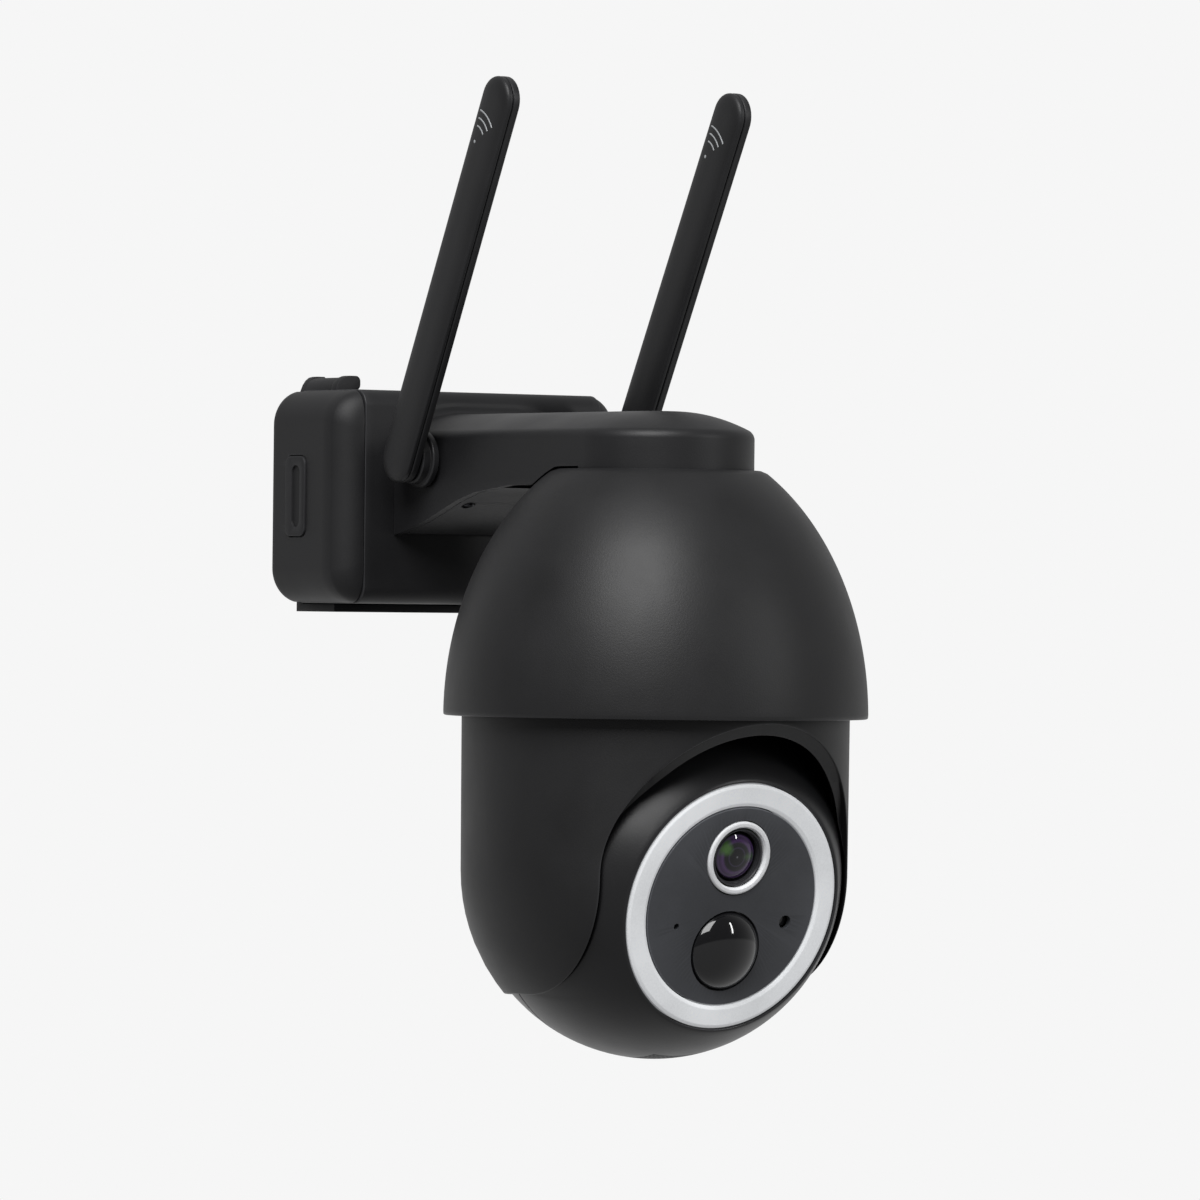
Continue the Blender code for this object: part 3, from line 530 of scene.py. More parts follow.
def arm_outline(inset, columns):
    """The arm from above: straight sides that run into the round end about the head's axis.

    A side touches the circle where its radius is square to it: the angle of the line to the side's
    start, less the arc cosine of radius over that line's length. Columns run from the rear right
    corner, round the tip, to the rear left corner.
    """
    radius, half = puck_r - inset, arm_half - inset
    length = arm_start - head_y
    turn = math.atan2(length, half) - math.acos(radius / math.hypot(half, length))
    straight, tip = columns
    touch = np.array([radius * math.cos(turn), head_y + radius * math.sin(turn)])
    start = np.array([half, arm_start])
    right = start + (touch - start) * straight[:, None]
    angles = turn + (-math.pi - 2 * turn) * tip
    around = np.stack([radius * np.cos(angles), head_y + radius * np.sin(angles)], -1)
    left = right[::-1] * [-1, 1]
    return np.concatenate([right, around, left])


def arm_levels():
    """Rise and inset from the side's foot to the crown: side, shoulder arc, then a flattening curve."""
    shoulder = arc_steps(0, 63, 12)
    rows = [(share, 0.0, 0.0) for share in np.linspace(0, 1, 7)[:-1]]
    rows += [(1.0, 15.0 + 2.9 * math.sin(a), 2.9 * (1 - math.cos(a))) for a in shoulder]
    rise, inset = rows[-1][1], rows[-1][2]
    for place in np.linspace(0, 1, 20)[1:]:
        here = inset + (20.5 - inset) * place
        fall = ((20.5 - here) / (20.5 - inset)) ** 2
        rows.append((1.0, 22.3 - (22.3 - rise) * fall, here))
    return rows


def arm_skin(inset, lower, foot):
    """The arm's skin, drawn in by inset and lowered, as a grid of levels by outline points.

    Near the box the top rises by a quarter circle of 3 mm and the side turns in by one of 0.5 mm.
    foot gives the height of the side's lowest point from (x, y).
    """
    near = [0, 0.0122, 0.0135, 0.016, 0.02, 0.026, 0.034, 0.045, 0.06]
    middle, far = [*np.linspace(0.08, 0.72, 26), 0.7244, 0.7246], np.linspace(0.74, 1.0, 12)
    straight = np.concatenate([near, middle, far])
    tip = np.concatenate([[0.0001], np.linspace(0.01, 0.99, 72), [0.9999]])
    rows = []
    for share, rise, inward in arm_levels():
        plan = arm_outline(inset + inward, (straight, tip))
        x, y = plan[:, 0], plan[:, 1]
        low = foot(x, y)
        z = low + (15.0 - lower - low) * share if rise == 0.0 else np.full_like(x, rise - lower)
        gap = np.clip(box_front - y, 0, 9)
        lift = 3.0 - np.sqrt(9.0 - np.clip(3.0 - gap, 0, 3.0) ** 2)
        tuck = 0.5 - np.sqrt(0.25 - np.clip(0.5 - gap, 0, 0.5) ** 2)
        on_top = np.clip((rise - 15.5) / 2.0, 0, 1)
        x = x - np.sign(x) * tuck * (1 - on_top)
        rows.append(np.stack([x, y, z + lift * on_top], -1))
    ridge = rows[-1].copy()
    for share in (0.6, 0.25, 0.0):
        narrow = ridge.copy()
        narrow[:, 0] *= share
        narrow[:, 1] = np.where(ridge[:, 1] < head_y, head_y + (ridge[:, 1] - head_y) * share, ridge[:, 1])
        rows.append(narrow)
    return np.array(rows)


def arm_foot(x, y, end_r):
    """Lowest edge of the side: the curved underside, lifted 0.6 mm clear of the hood, then the end's skirt.

    The hood's height there is its half ellipse: 73.6 mm times the root of one less (reach / 55) squared.
    """
    reach = np.hypot(x, y - head_y)
    hood_at = -56.8 + 73.6 * np.sqrt(1 - np.minimum(reach / 55.0, 1) ** 2)
    clear = np.minimum(hood_at, 7.1) + 0.6
    return np.where(reach < end_r + 0.02, -1.4, np.maximum(np.interp(y, under_y, under_z), clear))


outer_skin = arm_skin(0.0, 0.0, lambda x, y: arm_foot(x, y, puck_r))
inner_skin = arm_skin(wall, wall, lambda x, y: arm_foot(x, y, puck_r - wall))
inner_skin[0, :, 2] = outer_skin[0, :, 2]
arm = filled(surface("arm_shell", np.concatenate([outer_skin[::-1], inner_skin])))
arm = edges_broken(arm, 0.35, 55)
arm_black = moulded_plastic("arm_black", (0.0125, 0.0125, 0.0135), 0.44)
fitted(arm, "wall_unit", "housing_plastic", arm_black, "main_housing")

# ---- Cover under the arm ----
# A curved plate that closes the cable channel, held by two small steel screws.
# It sits between the arm's side walls with a narrow dark gap all round.

refitted("arm_lower_cover", 0.3, "wall_unit", "housing_plastic", box_black)
dark_steel = bare_steel("dark_steel", (0.045, 0.045, 0.05), 0.42)
for side in ("left", "right"):
    refitted(f"cover_screw_{side}", 0.2, "wall_unit", None, dark_steel)

# ---- Antennas ----
# Two paddles, each of two moulded halves on a hollow steel pivot beside the arm. The radiating strip
# is inside. The pillowed face carries three arcs and a dot, in low relief and printed pale grey.

antenna_y, antenna_z, paddle_half = -50.5, 9.9, 6.3
reach = 115.0 - 2 * paddle_half
antenna_black = moulded_plastic("antenna_black", (0.0135, 0.0135, 0.0145), 0.46)


def leaned(points, centre, degrees):
    """Points turned about a line along X through centre (y, z)."""
    c, s = math.cos(math.radians(degrees)), math.sin(math.radians(degrees))
    y, z = points[..., 1].copy(), points[..., 2].copy()
    points[..., 1] = centre[0] + y * c - z * s
    points[..., 2] = centre[1] + y * s + z * c
    return points


def paddle(name, lean, levels):
    """A stadium outline stacked by (x, inset) levels, closed along its middle line at both ends."""
    rings = []
    for x, inset in levels:
        across, along = stadium(paddle_half - inset, 0.0, reach, 20)
        run = np.linspace(0, reach, 30)[1:-1]
        along = np.concatenate([along[:20], run, along[20:], run[::-1]])
        side = np.full(28, paddle_half - inset)
        across = np.concatenate([across[:20], side, across[20:], -side])
        rings.append(np.stack([np.full_like(across, x), across, along], -1))
    return surface(name, leaned(np.array(rings), (antenna_y, antenna_z), lean), wrap_columns=True)


def dome_levels(parting, outward, side, rise, power):
    """Levels from the parting plane out: a small chamfer, a straight side, then a pillowed face.

    The face follows (inset from the middle / half width) to the power plus (rise) to the power is one.
    """
    levels = [(parting, paddle_half), (parting, 0.25)]
    levels += [(parting + outward * 0.2, 0.0), (parting + outward * side, 0.0)]
    for a in arc_steps(0, 90, 20)[1:]:
        share_up, share_in = math.sin(a) ** (2 / power), max(math.cos(a), 0.0) ** (2 / power)
        levels.append((parting + outward * (side + rise * share_up), paddle_half * (1 - share_in)))
    return levels


def on_face(base, across, lift):
    """How far along -X a mark lies on the pillowed face at that distance across it."""
    pillow = (1 - (np.abs(across) / paddle_half) ** 2.6) ** (1 / 2.6)
    return base - 1.85 * pillow - lift


def wave_marks(name, base, lean):
    """Three arcs and a dot pressed out of the face. An arc is a low ridge 0.44 mm wide about the dot."""
    dot_across, dot_along = 2.6, 89.6
    section = [(-0.22, -0.2), (-0.22, 0.03), (-0.12, 0.12), (0.12, 0.12), (0.22, 0.03), (0.22, -0.2)]
    section = np.array(section)
    turn = arc_steps(-10, 42, 18)[:, None]
    whole = bmesh.new()
    for radius in (4.2, 6.3, 8.4):
        away = radius + section[None, :, 0]
        across = dot_across - away * np.sin(turn)
        along = dot_along + away * np.cos(turn)
        points = np.stack([on_face(base, across, section[None, :, 1] + 0 * turn), across, along], -1)
        ridge = filled(surface("ridge", leaned(points, (antenna_y, antenna_z), lean), wrap_columns=True))
        whole.from_mesh(ridge.data)
        bpy.data.objects.remove(ridge)
    around = arc_steps(0, 360, 25)[:-1][None]
    out, lift = np.array([(0, 0.14), (0.3, 0.12), (0.46, 0.03), (0.46, -0.2), (0, -0.2)]).T[..., None]
    across, along = dot_across + out * np.sin(around), dot_along + out * np.cos(around)
    points = np.stack([on_face(base, across, lift + 0 * around), across, along], -1)
    dot = surface("dot", leaned(points, (antenna_y, antenna_z), lean), wrap_columns=True)
    whole.from_mesh(dot.data)
    bpy.data.objects.remove(dot)
    mesh = bpy.data.meshes.new(name)
    whole.to_mesh(mesh)
    whole.free()
    return linked(name, mesh)


mark_grey = moulded_plastic("mark_grey", (0.30, 0.31, 0.32), 0.35, 0.00002, 0.4, 0.6)
for side, sign, lean in (("left", -1, 25.8), ("right", 1, 27.4)):
    face_node, back_node = ("outer", "inner") if side == "left" else ("inner", "outer")
    face_at, back_at = (-36.15, -35.85) if side == "left" else (35.85, 36.15)
    face = paddle(f"antenna_{side}_face", lean, dome_levels(face_at, -1, 0.5, 1.85, 2.6))
    fitted(face, f"antenna_{side}", "antenna_plastic", antenna_black, f"antenna_{side}_{face_node}")
    rear = paddle(f"antenna_{side}_back", lean, dome_levels(back_at, 1, 1.5, 0.85, 3.6))
    fitted(rear, f"antenna_{side}", "antenna_plastic", antenna_black, f"antenna_{side}_{back_node}")
    marks = wave_marks(f"antenna_{side}_marks", face_at - 0.5, lean)
    fitted(marks, f"antenna_{side}", "antenna_plastic", mark_grey)
    flange = [(3.4, 28.9), (7.6, 28.9), (7.6, 30.55), (6.6, 30.75), (6.6, 32.9), (6.2, 33.15), (3.4, 33.15)]
    boss = rounded_profile([(r, sign * x) for r, x in flange], [0, 0.05, 0.5, 0.2, 0.3, 0.2, 0.1], 5)
    boss = turned(f"antenna_hub_{side}", boss, "X", (antenna_y, antenna_z), 72)
    fitted(boss, "wall_unit", "housing_plastic", antenna_black, f"antenna_boss_{side}")
    refitted(f"antenna_{side}_pivot", 0.2, f"antenna_{side}", "steel", steel)
dressed(board_green, "antenna_left_element", "antenna_right_element")

# ---- Neck and pan drive ----
# A moulded gear ring fixed under the arm's round end, the hollow neck hub that hangs in it, and the
# pinion of the pan motor. Natural nylon, and a zinc-plated motor can.

nylon = moulded_plastic("natural_nylon", (0.55, 0.53, 0.47), 0.42, 0.00003, 0.8, 0.55)
dressed(nylon, "pan_ring_gear", "neck_hub", "pan_pinion")
dressed(steel, "pan_motor")

# ---- Hood ----
# A bell of black plastic over the head, open where the arm's round end sits and along its lower rim.
# The rim and the top edge are rounded; the outside has a fine texture that gives a broad soft sheen.

hood_rim, hood_top, hood_r, hood_high = -56.8, 7.1, 55.0, 73.6
crown = math.asin((hood_top - 0.7 - hood_rim) / hood_high)
angles = np.linspace(0.015, crown, 64)
outer = np.stack([hood_r * np.cos(angles), hood_rim + hood_high * np.sin(angles)], -1)
crown = math.asin((hood_top - 1.6 - hood_rim) / (hood_high - 3.0))
angles = np.linspace(crown, 0.015, 64)
inner = np.stack([(hood_r - 1.9) * np.cos(angles), hood_rim + (hood_high - 3.0) * np.sin(angles)], -1)
inner[:, 0] = np.maximum(inner[:, 0], puck_r + 0.6)
top_edge = [(26.95, 6.9), (26.6, 7.06), (26.3, 7.1), (25.8, 7.1), (25.5, 7.0), (25.4, 6.8)]
rim = [(53.3, -56.6), (53.6, -56.76), (54.0, -56.8), (54.5, -56.8), (54.8, -56.68), (54.95, -56.4)]
hood = turned("hood_bell", np.concatenate([outer, top_edge, inner, rim]), "Z", (0, head_y), 160)
hood_black = moulded_plastic("hood_black", (0.0135, 0.0135, 0.0143), 0.46)
fitted(hood, "head", "hood_plastic", hood_black, "hood")

# ---- Head shell ----
# A drum that turns into a ball-shaped skirt, with an arched front opening for the camera ball.
# One black moulding; the opening has a rounded rim and, over the arch, an inward lip.

ball_z, opening = -96.6, 38.8
shell_top, shell_bottom = -44.3, ball_z - 33.3


def outer_radius(z):
    """The drum is 50.3 mm at the top and narrows to the 50.05 mm sphere below the ball's centre."""
    sphere = np.sqrt(np.maximum(50.05**2 - np.minimum(z - ball_z, 0) ** 2, 0))
    return sphere + np.clip((z - ball_z) / (shell_top - ball_z), 0, 1) * 0.25


def inner_radius(z):
    """The skirt's inside is the 49.2 mm sphere, cut by the 47.4 mm bore of the drum."""
    sphere = np.sqrt(np.maximum(49.2**2 - (z - ball_z) ** 2, 0))
    return np.where(z > ball_z + 13.2, 47.4, sphere)


def thickness(z):
    return outer_radius(z) - inner_radius(z)


def edge_curve(size, sphere=50.05):
    """The edge of the opening for that half width, as x and z: up one side, over the arch and down.

    The side is a circle of the sphere, where the plane x = size cuts it, from its lowest point up to
    the ball's centre. The last value is how much of the lip there is: all at the top of the arch.
    """
    arch = arc_steps(0, 180, 73)
    rise = ball_z - math.sqrt(sphere**2 - size**2) * np.cos(arc_steps(0, 90, 34)[:-1])
    x = np.concatenate([np.full(33, size), size * np.cos(arch), np.full(33, -size)])
    z = np.concatenate([rise, ball_z + size * np.sin(arch), rise[::-1]])
    lip = np.clip((z - ball_z - 4) / 26, 0, 1)
    return x, z, lip * lip * (3 - 2 * lip)


def on_shell(x, z, radius):
    """The point of the shell's front half with that x and z, held to the middle plane beyond the radius."""
    x = np.clip(x, -radius, radius)
    return np.stack([x, head_y - np.sqrt(np.maximum(radius**2 - x**2, 0)), z], -1)


back = arc_steps(90, 270, 61)[1:-1]


def shell_row(size, depth):
    """One row of the shell: the front edge curve at that opening size, then the back of the bottom edge.

    Behind the middle the edge sinks smoothly, within 70 degrees, from the side circle's lowest point
    to the bottom rim.
    """
    low = np.array(shell_bottom)
    sphere = 50.05 - 0.85 * float(depth(low, np.array(0.0)) / thickness(low))
    x, z, lip = edge_curve(size, sphere)
    front = on_shell(x, z, outer_radius(z) - depth(z, lip))
    sunk = np.clip((math.pi / 2 - np.abs(back - math.pi)) / math.radians(70), 0, 1)
    low = z[0] + (shell_bottom + size - opening - z[0]) * sunk * sunk * (3 - 2 * sunk)
    r = outer_radius(low) - depth(low, np.zeros_like(low))
    rear = np.stack([-r * np.sin(back), head_y - r * np.cos(back), low], -1)
    return np.concatenate([front, rear])


edge_rows = [(0.5, 0.0), (0.3, 0.03), (0.14, 0.12), (0.04, 0.26), (0.0, 0.45)]
outer_first = shell_row(opening + 0.5, lambda z, lip: 0 * z)
count = len(outer_first)
goal = np.interp(np.arange(count), [0, 32, 69, 106, 138, count], np.radians([100, 76, 0, -76, -100, -260]))


def rows_to_top(first, radius_of):
    """Rows from the edge to the top rim: angle and height run straight from one to the other."""
    angle = np.unwrap(np.arctan2(first[:, 0], head_y - first[:, 1]))
    angle = angle - angle[69]
    rows = []
    for share in np.concatenate([[0.03, 0.08], np.linspace(0.15, 1, 20)]):
        turn = angle + (goal - angle) * share
        z = first[:, 2] + (shell_top - first[:, 2]) * share
        r = radius_of(z)
        rows.append(np.stack([r * np.sin(turn), head_y - r * np.cos(turn), z], -1))
    return rows


outer_rows = rows_to_top(outer_first, outer_radius)[::-1]
edge = [
    shell_row(opening + out, lambda z, lip, d=deep: np.minimum(d, thickness(z) * 0.5) + 0 * lip)
    for out, deep in edge_rows
]


def lip_row(draw_in, out):
    """A row of the lip: drawn in from the opening's edge over the arch, and set back from the face."""
    x, z, lip = edge_curve(opening, 49.4)
    scale = 1 - draw_in * lip / opening
    arch = z > ball_z
    x = np.where(arch, x * scale, x)
    z2 = np.where(arch, ball_z + (z - ball_z) * scale, z)
    front = on_shell(x, z2, outer_radius(z2) - ((thickness(z2) - 0.2) * (1 - lip) + out * lip))
    rear = shell_row(opening, lambda z, lip: thickness(z) - 0.2)[len(x):]
    return np.concatenate([front, rear])


lip_rows = [lip_row(0.3, 0.7), lip_row(2.5, 2.3), lip_row(2.8, 2.6), lip_row(2.8, 2.9), lip_row(2.4, 3.1)]
inner_first = shell_row(opening + 0.5, lambda z, lip: thickness(z))
inner_rows = [inner_first] + rows_to_top(inner_first, inner_radius)
shell_rows = np.array(outer_rows + edge + lip_rows + inner_rows)
shell = surface("head_drum", shell_rows, wrap_rows=True, wrap_columns=True)
head_black = moulded_plastic("head_black", (0.0125, 0.0125, 0.0133), 0.48)
fitted(shell, "head", "head_plastic", head_black, "head_shell")

# ---- Inside of the head ----
# The deck that closes the drum, the cheek walls beside the ball with their steel tilt stubs, the screws,
# the main board, the speaker and the fixed tilt gear.

inner_black = moulded_plastic("inner_black", (0.008, 0.008, 0.0085), 0.62)
for node, radius in (("head_deck", 0.4), ("cheek_plate_left", 0.35), ("cheek_plate_right", 0.35)):
    refitted(node, radius, "head", "inner_plastic", inner_black)
for side in ("left", "right"):
    refitted(f"tilt_stub_{side}", 0.2, "head", "steel", steel)
    refitted(f"deck_screw_{side}", 0.2, "head", "steel", steel)
dressed(board_green, "main_board")
dressed(inner_black, "speaker")
dressed(nylon, "tilt_gear", "tilt_pinion")
dressed(steel, "tilt_motor")

# ---- Camera ball ----
# Two half shells meeting on a seam just behind the middle, cut flat at both sides to fit between the
# cheeks. Black, satin; the front shell is faced off and bored for the light ring.

ball_r, ball_half, face_y, ball_lean = 48.6, 37.8, 35.5, 13.0
head_place = (head_y, ball_z)


def half_ball(start, end, rear=False):
    """Outer and inner skins about the ball's front axis: angle from that axis by angle round it.

    A point beyond the flat side is slid along X onto it, with a soft corner. The rows bunch at the
    flat side's edge, where the sine of the angle times the cosine round it is the flat's share.
    """
    around = arc_steps(0, 360, 193)[:-1]
    cosine = np.abs(np.cos(around))
    share = np.clip(ball_half / (ball_r * np.maximum(cosine, 0.01)), 0, 1)
    crease = np.arcsin(share)
    if rear:
        crease = math.pi - crease
    crease = np.clip(crease, start + 0.03, end - 0.03)
    near, far = np.linspace(0, 1, 22)[:-1], np.linspace(0, 1, 22)[1:]
    spread = np.radians([-0.9, -0.5, -0.2, 0.0, 0.2, 0.5, 0.9])
    rows = [start + (crease + spread[0] - start) * t for t in near]
    rows += [crease + s for s in spread]
    rows += [crease + spread[-1] + (end - crease - spread[-1]) * t for t in far]
    angle = np.array(rows)

    def skin(radius, half):
        x = radius * np.sin(angle) * np.cos(around)
        z = radius * np.sin(angle) * np.sin(around)
        y = -radius * np.cos(angle)
        over = np.abs(x) - half
        soft = 0.35
        near_flat = np.where(over < -soft, over, -((soft - over) ** 2) / (4 * soft))
        return np.stack([np.sign(x) * (half + np.where(over > soft, 0.0, near_flat)), y, z], -1)

    return skin(ball_r, ball_half), skin(ball_r - wall, ball_half - wall)[::-1]


def rim_ring(radius, y):
    """A circle about the front axis at that radius and depth, with the same count of points."""
    around = arc_steps(0, 360, 193)[:-1]
    return np.stack([radius * np.cos(around), np.full(192, y), radius * np.sin(around)], -1)


def seam_edge(row, y):
    """The row next to the seam, carried to the seam's plane and drawn in a little."""
    edge = row.copy()
    edge[:, 1] = y
    edge[:, [0, 2]] *= 0.996
    return edge[None]


front_start, front_seam = math.acos(face_y / ball_r), math.acos(-1.35 / ball_r)
outer_skin, inner_skin = half_ball(front_start + 0.012, front_seam - 0.004)
face_rings = [rim_ring(33.1, -35.46), rim_ring(32.95, -35.5), rim_ring(32.8, -35.5)]
face_rings += [rim_ring(32.65, -35.42), rim_ring(32.6, -35.2), rim_ring(32.6, -31.0)]
points = np.concatenate([np.array(face_rings[::-1]), outer_skin, seam_edge(outer_skin[-1], 1.35), inner_skin])
points = leaned(points, head_place, ball_lean)
front_shell = surface("ball_front", points, wrap_rows=True, wrap_columns=True)
slot_half, slot_y = 7.9, (-21.9, -10.1)
corners = ((-60, -slot_half), (-60, slot_half), (-46.6, slot_half), (-46.6, -slot_half))
card_cut = np.array([[(x, y, z) for y in slot_y] for z, x in corners])
card_way = filled(surface("card_way", leaned(card_cut, head_place, ball_lean), wrap_rows=True))
front_shell = cut(front_shell, card_way)
ball_black = moulded_plastic("ball_black", (0.0115, 0.0115, 0.0125), 0.38, 0.00004, 0.5)
fitted(front_shell, "ball", "ball_plastic", ball_black, "ball_front_shell")
rear_seam = math.acos(-1.65 / ball_r)
outer_skin, inner_skin = half_ball(rear_seam + 0.004, math.pi - 0.0001, rear=True)
points = np.concatenate([outer_skin[::-1], seam_edge(outer_skin[0], 1.65), inner_skin[::-1]])
rear_shell = surface("ball_rear", leaned(points, head_place, ball_lean), wrap_columns=True)
fitted(rear_shell, "ball", "ball_plastic", ball_black, "ball_rear_shell")

# ---- Memory card cover ----
# A soft rubber flap flush in the underside of the ball, over the card slot.
# It is the same rubber as the port cover, 1.6 mm thick, and follows the ball's curve.

flap_x, flap_y = np.meshgrid(np.linspace(-7.7, 7.7, 15), np.linspace(-21.7, -10.3, 12), indexing="ij")
skins = []
for radius in (ball_r, ball_r - 1.6):
    skin = np.stack([flap_x, flap_y, -np.sqrt(radius**2 - flap_x**2 - flap_y**2)], -1)
    skins.append(leaned(skin, head_place, ball_lean))
card = filled(surface("card_flap", np.concatenate([skins[0], skins[1][::-1]]), wrap_rows=True))
card = edges_broken(card, 0.2, 55, 2)
fitted(card, "ball", "rubber", port_rubber, "card_cover")

# ---- Light ring ----
# A frosted polycarbonate diffuser round the face, in front of the LED ring board. Its faint emission is a
# painted glow that makes the ring brighter.
# Pale grey, with a soft gloss; its outer and inner edges are rounded.


def leaned_turn(name, profile, centre=(0.0, 0.0), sides=128):
    """A profile turned about the ball's front axis, or one beside it, and leaned with the ball."""
    piece = turned(name, profile, "Y", centre, sides)
    places = leaned(places_of(piece.data), head_place, ball_lean) * 0.001
    piece.data.vertices.foreach_set("co", places.reshape(-1).astype(np.float32))
    piece.data.update()
    return piece


ring = [(26.35, -31.0), (26.35, -35.15), (27.3, -35.6), (31.4, -35.6), (32.3, -35.2), (32.3, -31.0)]
ring = rounded_profile(ring, [0.1, 0.35, 0.5, 0.5, 0.35, 0.1], 6)
frosted = moulded_plastic("frosted_diffuser", (0.74, 0.755, 0.77), 0.45, 0.00001, 0.5, 0.5, -0.05)
# Painted glow: a faint emission that brightens the pale ring.
tuned(frosted, {"Emission Color": (0.95, 0.97, 1.0, 1), "Emission Strength": 0.20})
fitted(leaned_turn("light_ring", ring), "ball", "light_diffuser", frosted, "ring_diffuser")
dressed(board_green, "led_board", "sensor_board")

# ---- Face plate ----
# A satin dark grey disc inside the ring, holed for the lens, the movement sensor, the microphone
# and the light sensor. It sits 0.3 mm behind the ring's front.

plate = rounded_profile([(0, -33.8), (0, -35.3), (26.05, -35.3), (26.05, -33.8)], [0, 0, 0.25, 0.1], 5)
plate = leaned_turn("face_disc", plate)
holes = [(9.9, 0.0, 12.8, 64), (10.6, 0.0, -11.8, 64), (0.8, -16.4, -5.1, 20), (1.8, 17.6, -4.4, 28)]
ways = [
    leaned_turn(f"way_{place}", [(0, -50), (r, -50), (r, -20), (0, -20)], (x, z), sides)
    for place, (r, x, z, sides) in enumerate(holes)
]
plate = cut(plate, *ways)
satin_grey = moulded_plastic("satin_grey", (0.050, 0.052, 0.058), 0.36, 0.00002, 0.5)
fitted(plate, "ball", "face_plate", satin_grey, "face_plate")
dressed(port_rubber, "microphone")

# ---- Lens ----
# A pale trim ring round a black stepped barrel, with a coated glass dome at the bottom of the steps.
# The coating's purple and green reflections and a bright glint at the middle are painted on the glass as
# bands of colour.

lens_at = (0.0, 12.8)
trim = [(7.9, -33.9), (9.6, -33.9), (9.6, -35.7), (9.1, -35.9), (8.3, -35.9), (7.9, -35.3)]
trim = rounded_profile(trim, [0, 0.05, 0.4, 0.2, 0.25, 0.3], 5)
pale_trim = moulded_plastic("pale_trim", (0.86, 0.87, 0.89), 0.34, 0.00002, 0.6, 0.55, -0.05)
trim_ring = leaned_turn("lens_trim", trim, lens_at)
fitted(trim_ring, "ball", "lens_trim", pale_trim, "lens_trim_ring")
barrel = [(0, -24.6), (7.5, -24.6), (7.5, -34.9), (7.4, -35.0), (7.15, -35.0), (7.0, -34.8)]
barrel += [(6.9, -34.3), (6.82, -34.25), (6.78, -33.8), (6.7, -33.75), (6.7, -31.0), (0, -31.0)]
barrel_black = moulded_plastic("barrel_black", (0.016, 0.016, 0.018), 0.4, 0.00002, 0.5)
lens_barrel = leaned_turn("lens_steps", barrel, lens_at, 96)
fitted(lens_barrel, "ball", "lens_barrel", barrel_black, "lens_barrel")
glass_r, glass_y = 6.4, -32.8
bulge = [(glass_r * math.cos(a), glass_y - 1.8 * math.sin(a)) for a in arc_steps(2, 90, 18)]
glass = leaned_turn("lens_dome", [(0, -31.3), (glass_r, -31.3)] + bulge, lens_at, 96)


def glass_painted_reflections(name, centre, radius):
    """Black glass with painted reflections: colour bands that follow the distance from the lens's axis stand
    for the coating's reflections, with a painted glint at the middle.

    A second ramp, by the angle round the axis, paints part of the bands with the coating's green reflection.
    """
    made = bpy.data.materials.new(name)
    made.use_nodes = True
    tuned(made, {"Coat Weight": 0.35, "Coat Roughness": 0.02, "IOR": 1.45})
    tree = made.node_tree
    shader = tree.nodes["Principled BSDF"]
    place = tree.nodes.new("ShaderNodeTexCoord").outputs["Object"]
    local = {"Vector": place, "Location": centre, "Rotation": (math.radians(ball_lean), 0, 0)}
    local |= {"Scale": (radius, radius, radius)}
    local = shader_node(tree, "Mapping", local, vector_type="TEXTURE").outputs["Vector"]
    flat = shader_node(tree, "VectorMath", {0: local, 1: (1, 0, 1)}, operation="MULTIPLY").outputs["Vector"]
    away = shader_node(tree, "VectorMath", {0: flat}, operation="LENGTH").outputs["Value"]
    # Painted reflections: a bright glint at the middle, then dark glass with purple rings of the coating's
    # reflections.
    stops = [
        (0.0, 0.20, 0.20, 0.22),
        (0.06, 0.004, 0.004, 0.006),
        (0.33, 0.002, 0.002, 0.004),
        (0.38, 0.030, 0.022, 0.050),
        (0.43, 0.002, 0.002, 0.004),
        (0.56, 0.004, 0.003, 0.008),
        (0.66, 0.075, 0.036, 0.120),
        (0.79, 0.040, 0.018, 0.065),
        (0.86, 0.080, 0.042, 0.130),
        (0.92, 0.004, 0.004, 0.006),
        (1.0, 0.003, 0.003, 0.004),
    ]
    painted_reflection_bands = colour_ramp(tree, away, stops)
    parts = shader_node(tree, "SeparateXYZ", {"Vector": local}).outputs
    angle = maths(tree, "ARCTAN2", parts["Z"], parts["X"])
    # Painted green reflection, in two wedges round the axis.
    steps = [(0.0, 0.0), (0.44, 0.0), (0.5, 0.55), (0.56, 0.0)]
    steps += [(0.82, 0.0), (0.88, 1.0), (0.94, 1.0), (1.0, 0.0)]
    steps = [(position, value, value, value) for position, value in steps]
    painted_green_wedge = colour_ramp(tree, remap(tree, angle, -math.pi, math.pi), steps)
    zone = [remap(tree, away, 0.92, 0.80, curve="SMOOTHSTEP"), remap(tree, away, 0.25, 0.55)]
    painted_green_share = maths(tree, "MULTIPLY", painted_green_wedge, maths(tree, "MULTIPLY", *zone))
    green = {"Factor": painted_green_share, "A": painted_reflection_bands, "B": (0.060, 0.150, 0.030, 1)}
    green = shader_node(tree, "Mix", green, data_type="RGBA").outputs["Result"]
    tree.links.new(green, shader.inputs["Base Color"])
    smear = shader_node(tree, "TexNoise", {"Vector": place, "Scale": 300.0}).outputs["Fac"]
    tree.links.new(remap(tree, smear, 0.0, 1.0, 0.02, 0.07), shader.inputs["Roughness"])
    return made


glass_place = leaned(np.array([[lens_at[0], glass_y, lens_at[1]]]), head_place, ball_lean)[0] * 0.001
lens_reflection_glass = glass_painted_reflections("glass_painted_reflections", tuple(glass_place), glass_r * 0.001)
fitted(glass, "ball", "lens_glass", lens_reflection_glass, "lens_glass")

# ---- Movement sensor ----
# A dark glossy dome over the infra-red sensor, snapped into the face plate from behind.
# The dome is smooth moulded polyethylene; the light sensor beside it is a small dark window.

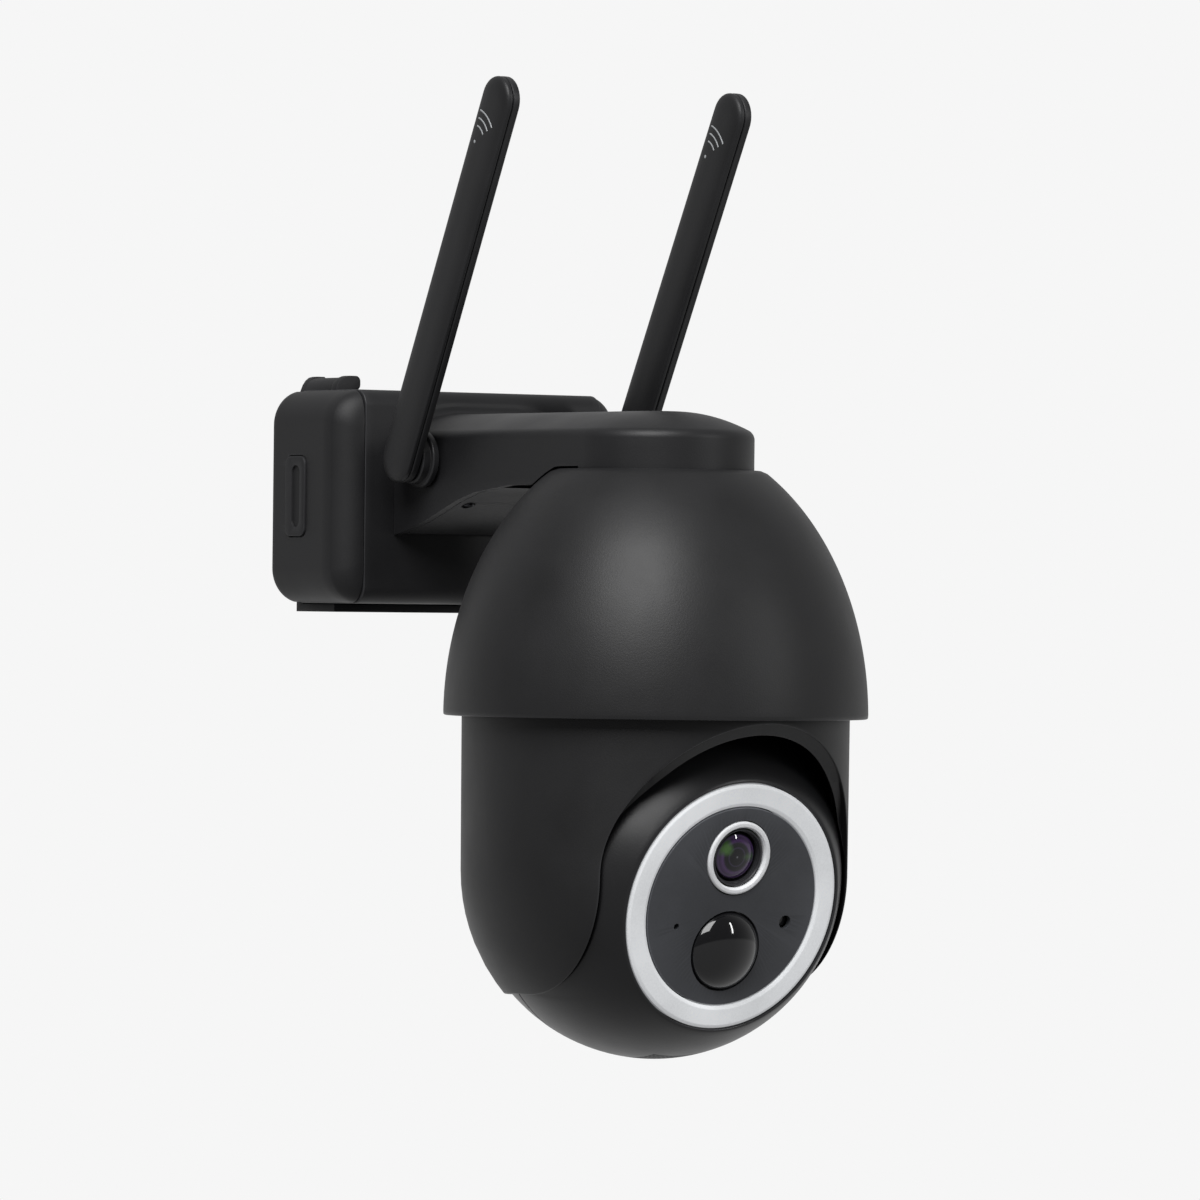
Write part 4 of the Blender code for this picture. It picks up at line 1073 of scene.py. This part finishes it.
dome_out = [(10.3 * math.cos(a), -34.2 - 5.2 * math.sin(a)) for a in arc_steps(0, 90, 26)]
dome_in = [(9.3 * math.cos(a), -34.2 - 4.4 * math.sin(a)) for a in arc_steps(90, 0, 20)]
dome = dome_out + dome_in + [(9.3, -32.2), (11.4, -32.2), (11.4, -33.5), (10.3, -33.5)]
dome = leaned_turn("sensor_dome", dome, (0.0, -11.8), 96)
dome_black = moulded_plastic("dome_black", (0.007, 0.007, 0.008), 0.08, 0.000006, 1.6, 1.0, 0.0)
tuned(dome_black, {"Coat Weight": 0.5, "Coat Roughness": 0.04})
fitted(dome, "ball", "pir_dome", dome_black, "pir_lens")
dressed(steel, "pir_sensor")
dressed(dome_black, "light_sensor")

# ---- Stage, light and camera ----
# A pale plain floor well below the part, a soft studio sky that is brightest behind the part, a large
# key light from the upper left with a narrow strip at the right, and a long lens level with the head.

floor_z, floor_middle = -1600.0, -60.0
around = arc_steps(0, 360, 97)[:-1]
rings = [[(r * math.cos(a), r * math.sin(a) + floor_middle, floor_z) for a in around] for r in (0, 300, 900)]
floor = surface("floor", np.array(rings), wrap_columns=True)
floor_white = bpy.data.materials.new("floor_white")
floor_white.use_nodes = True
tuned(floor_white, {"Base Color": (0.86, 0.86, 0.86, 1), "Roughness": 0.9})
floor.data.materials.append(floor_white)
floor.visible_glossy = False
floor.visible_diffuse = False

world = bpy.data.worlds.new("studio")
bpy.context.scene.world = world
world.use_nodes = True
sky = world.node_tree
plain = sky.nodes["Background"]
plain.inputs["Color"].default_value = (0.922, 0.922, 0.922, 1)
plain.inputs["Strength"].default_value = 1.0
compass = sky.nodes.new("ShaderNodeTexCoord").outputs["Generated"]
toward_lens = (-0.5736, -0.8192, 0.0)
facing = shader_node(sky, "VectorMath", {0: compass, 1: toward_lens}, operation="DOT_PRODUCT")
behind = remap(sky, facing.outputs["Value"], 0.45, -0.85, 0.12, 0.52, "SMOOTHSTEP")
height = shader_node(sky, "SeparateXYZ", {"Vector": compass}).outputs["Z"]
ground = remap(sky, height, -0.02, -0.07, 0.0, 0.035)
seen = sky.nodes.new("ShaderNodeLightPath").outputs
mirrored = maths(sky, "MULTIPLY", ground, 7.0)
mirrored = maths(sky, "MULTIPLY_ADD", mirrored, seen["Is Glossy Ray"], maths(sky, "ADD", behind, ground))
soft = shader_node(sky, "Background", {"Color": (1, 1, 1, 1), "Strength": mirrored}).outputs["Background"]
either = {"Fac": seen["Is Camera Ray"], 1: soft, 2: plain.outputs["Background"]}
either = shader_node(sky, "MixShader", either).outputs["Shader"]
sky.links.new(either, sky.nodes["World Output"].inputs["Surface"])


def soft_box(name, place, aim, size, power):
    """A rectangular area light facing a point."""
    light = bpy.data.lights.new(name, "AREA")
    light.shape = "RECTANGLE"
    light.size, light.size_y = size
    light.energy = power
    aimed = (Vector(place) - Vector(aim)).to_track_quat("Z", "Y").to_matrix().to_4x4()
    linked(name, light).matrix_world = Matrix.Translation(place) @ aimed


soft_box("key", (-1.00, -0.98, 1.32), (0, -0.117, -0.03), (1.3, 1.3), 45)
soft_box("strip", (0.95, -1.75, 0.55), (0, -0.15, -0.09), (0.10, 0.9), 7)

view_turn, roll = math.radians(-35), math.radians(0.65)
camera_data = bpy.data.cameras.new("camera")
camera_data.lens = 240
camera_data.sensor_width = 36
camera = linked("camera", camera_data)
level = Matrix.Rotation(view_turn, 4, "Z") @ Matrix.Rotation(math.pi / 2, 4, "X")
camera.matrix_world = Matrix.Translation((-1.1994, -1.8042, -0.0267)) @ level @ Matrix.Rotation(roll, 4, "Z")
bpy.context.scene.camera = camera
bpy.context.scene.view_settings.view_transform = "Standard"
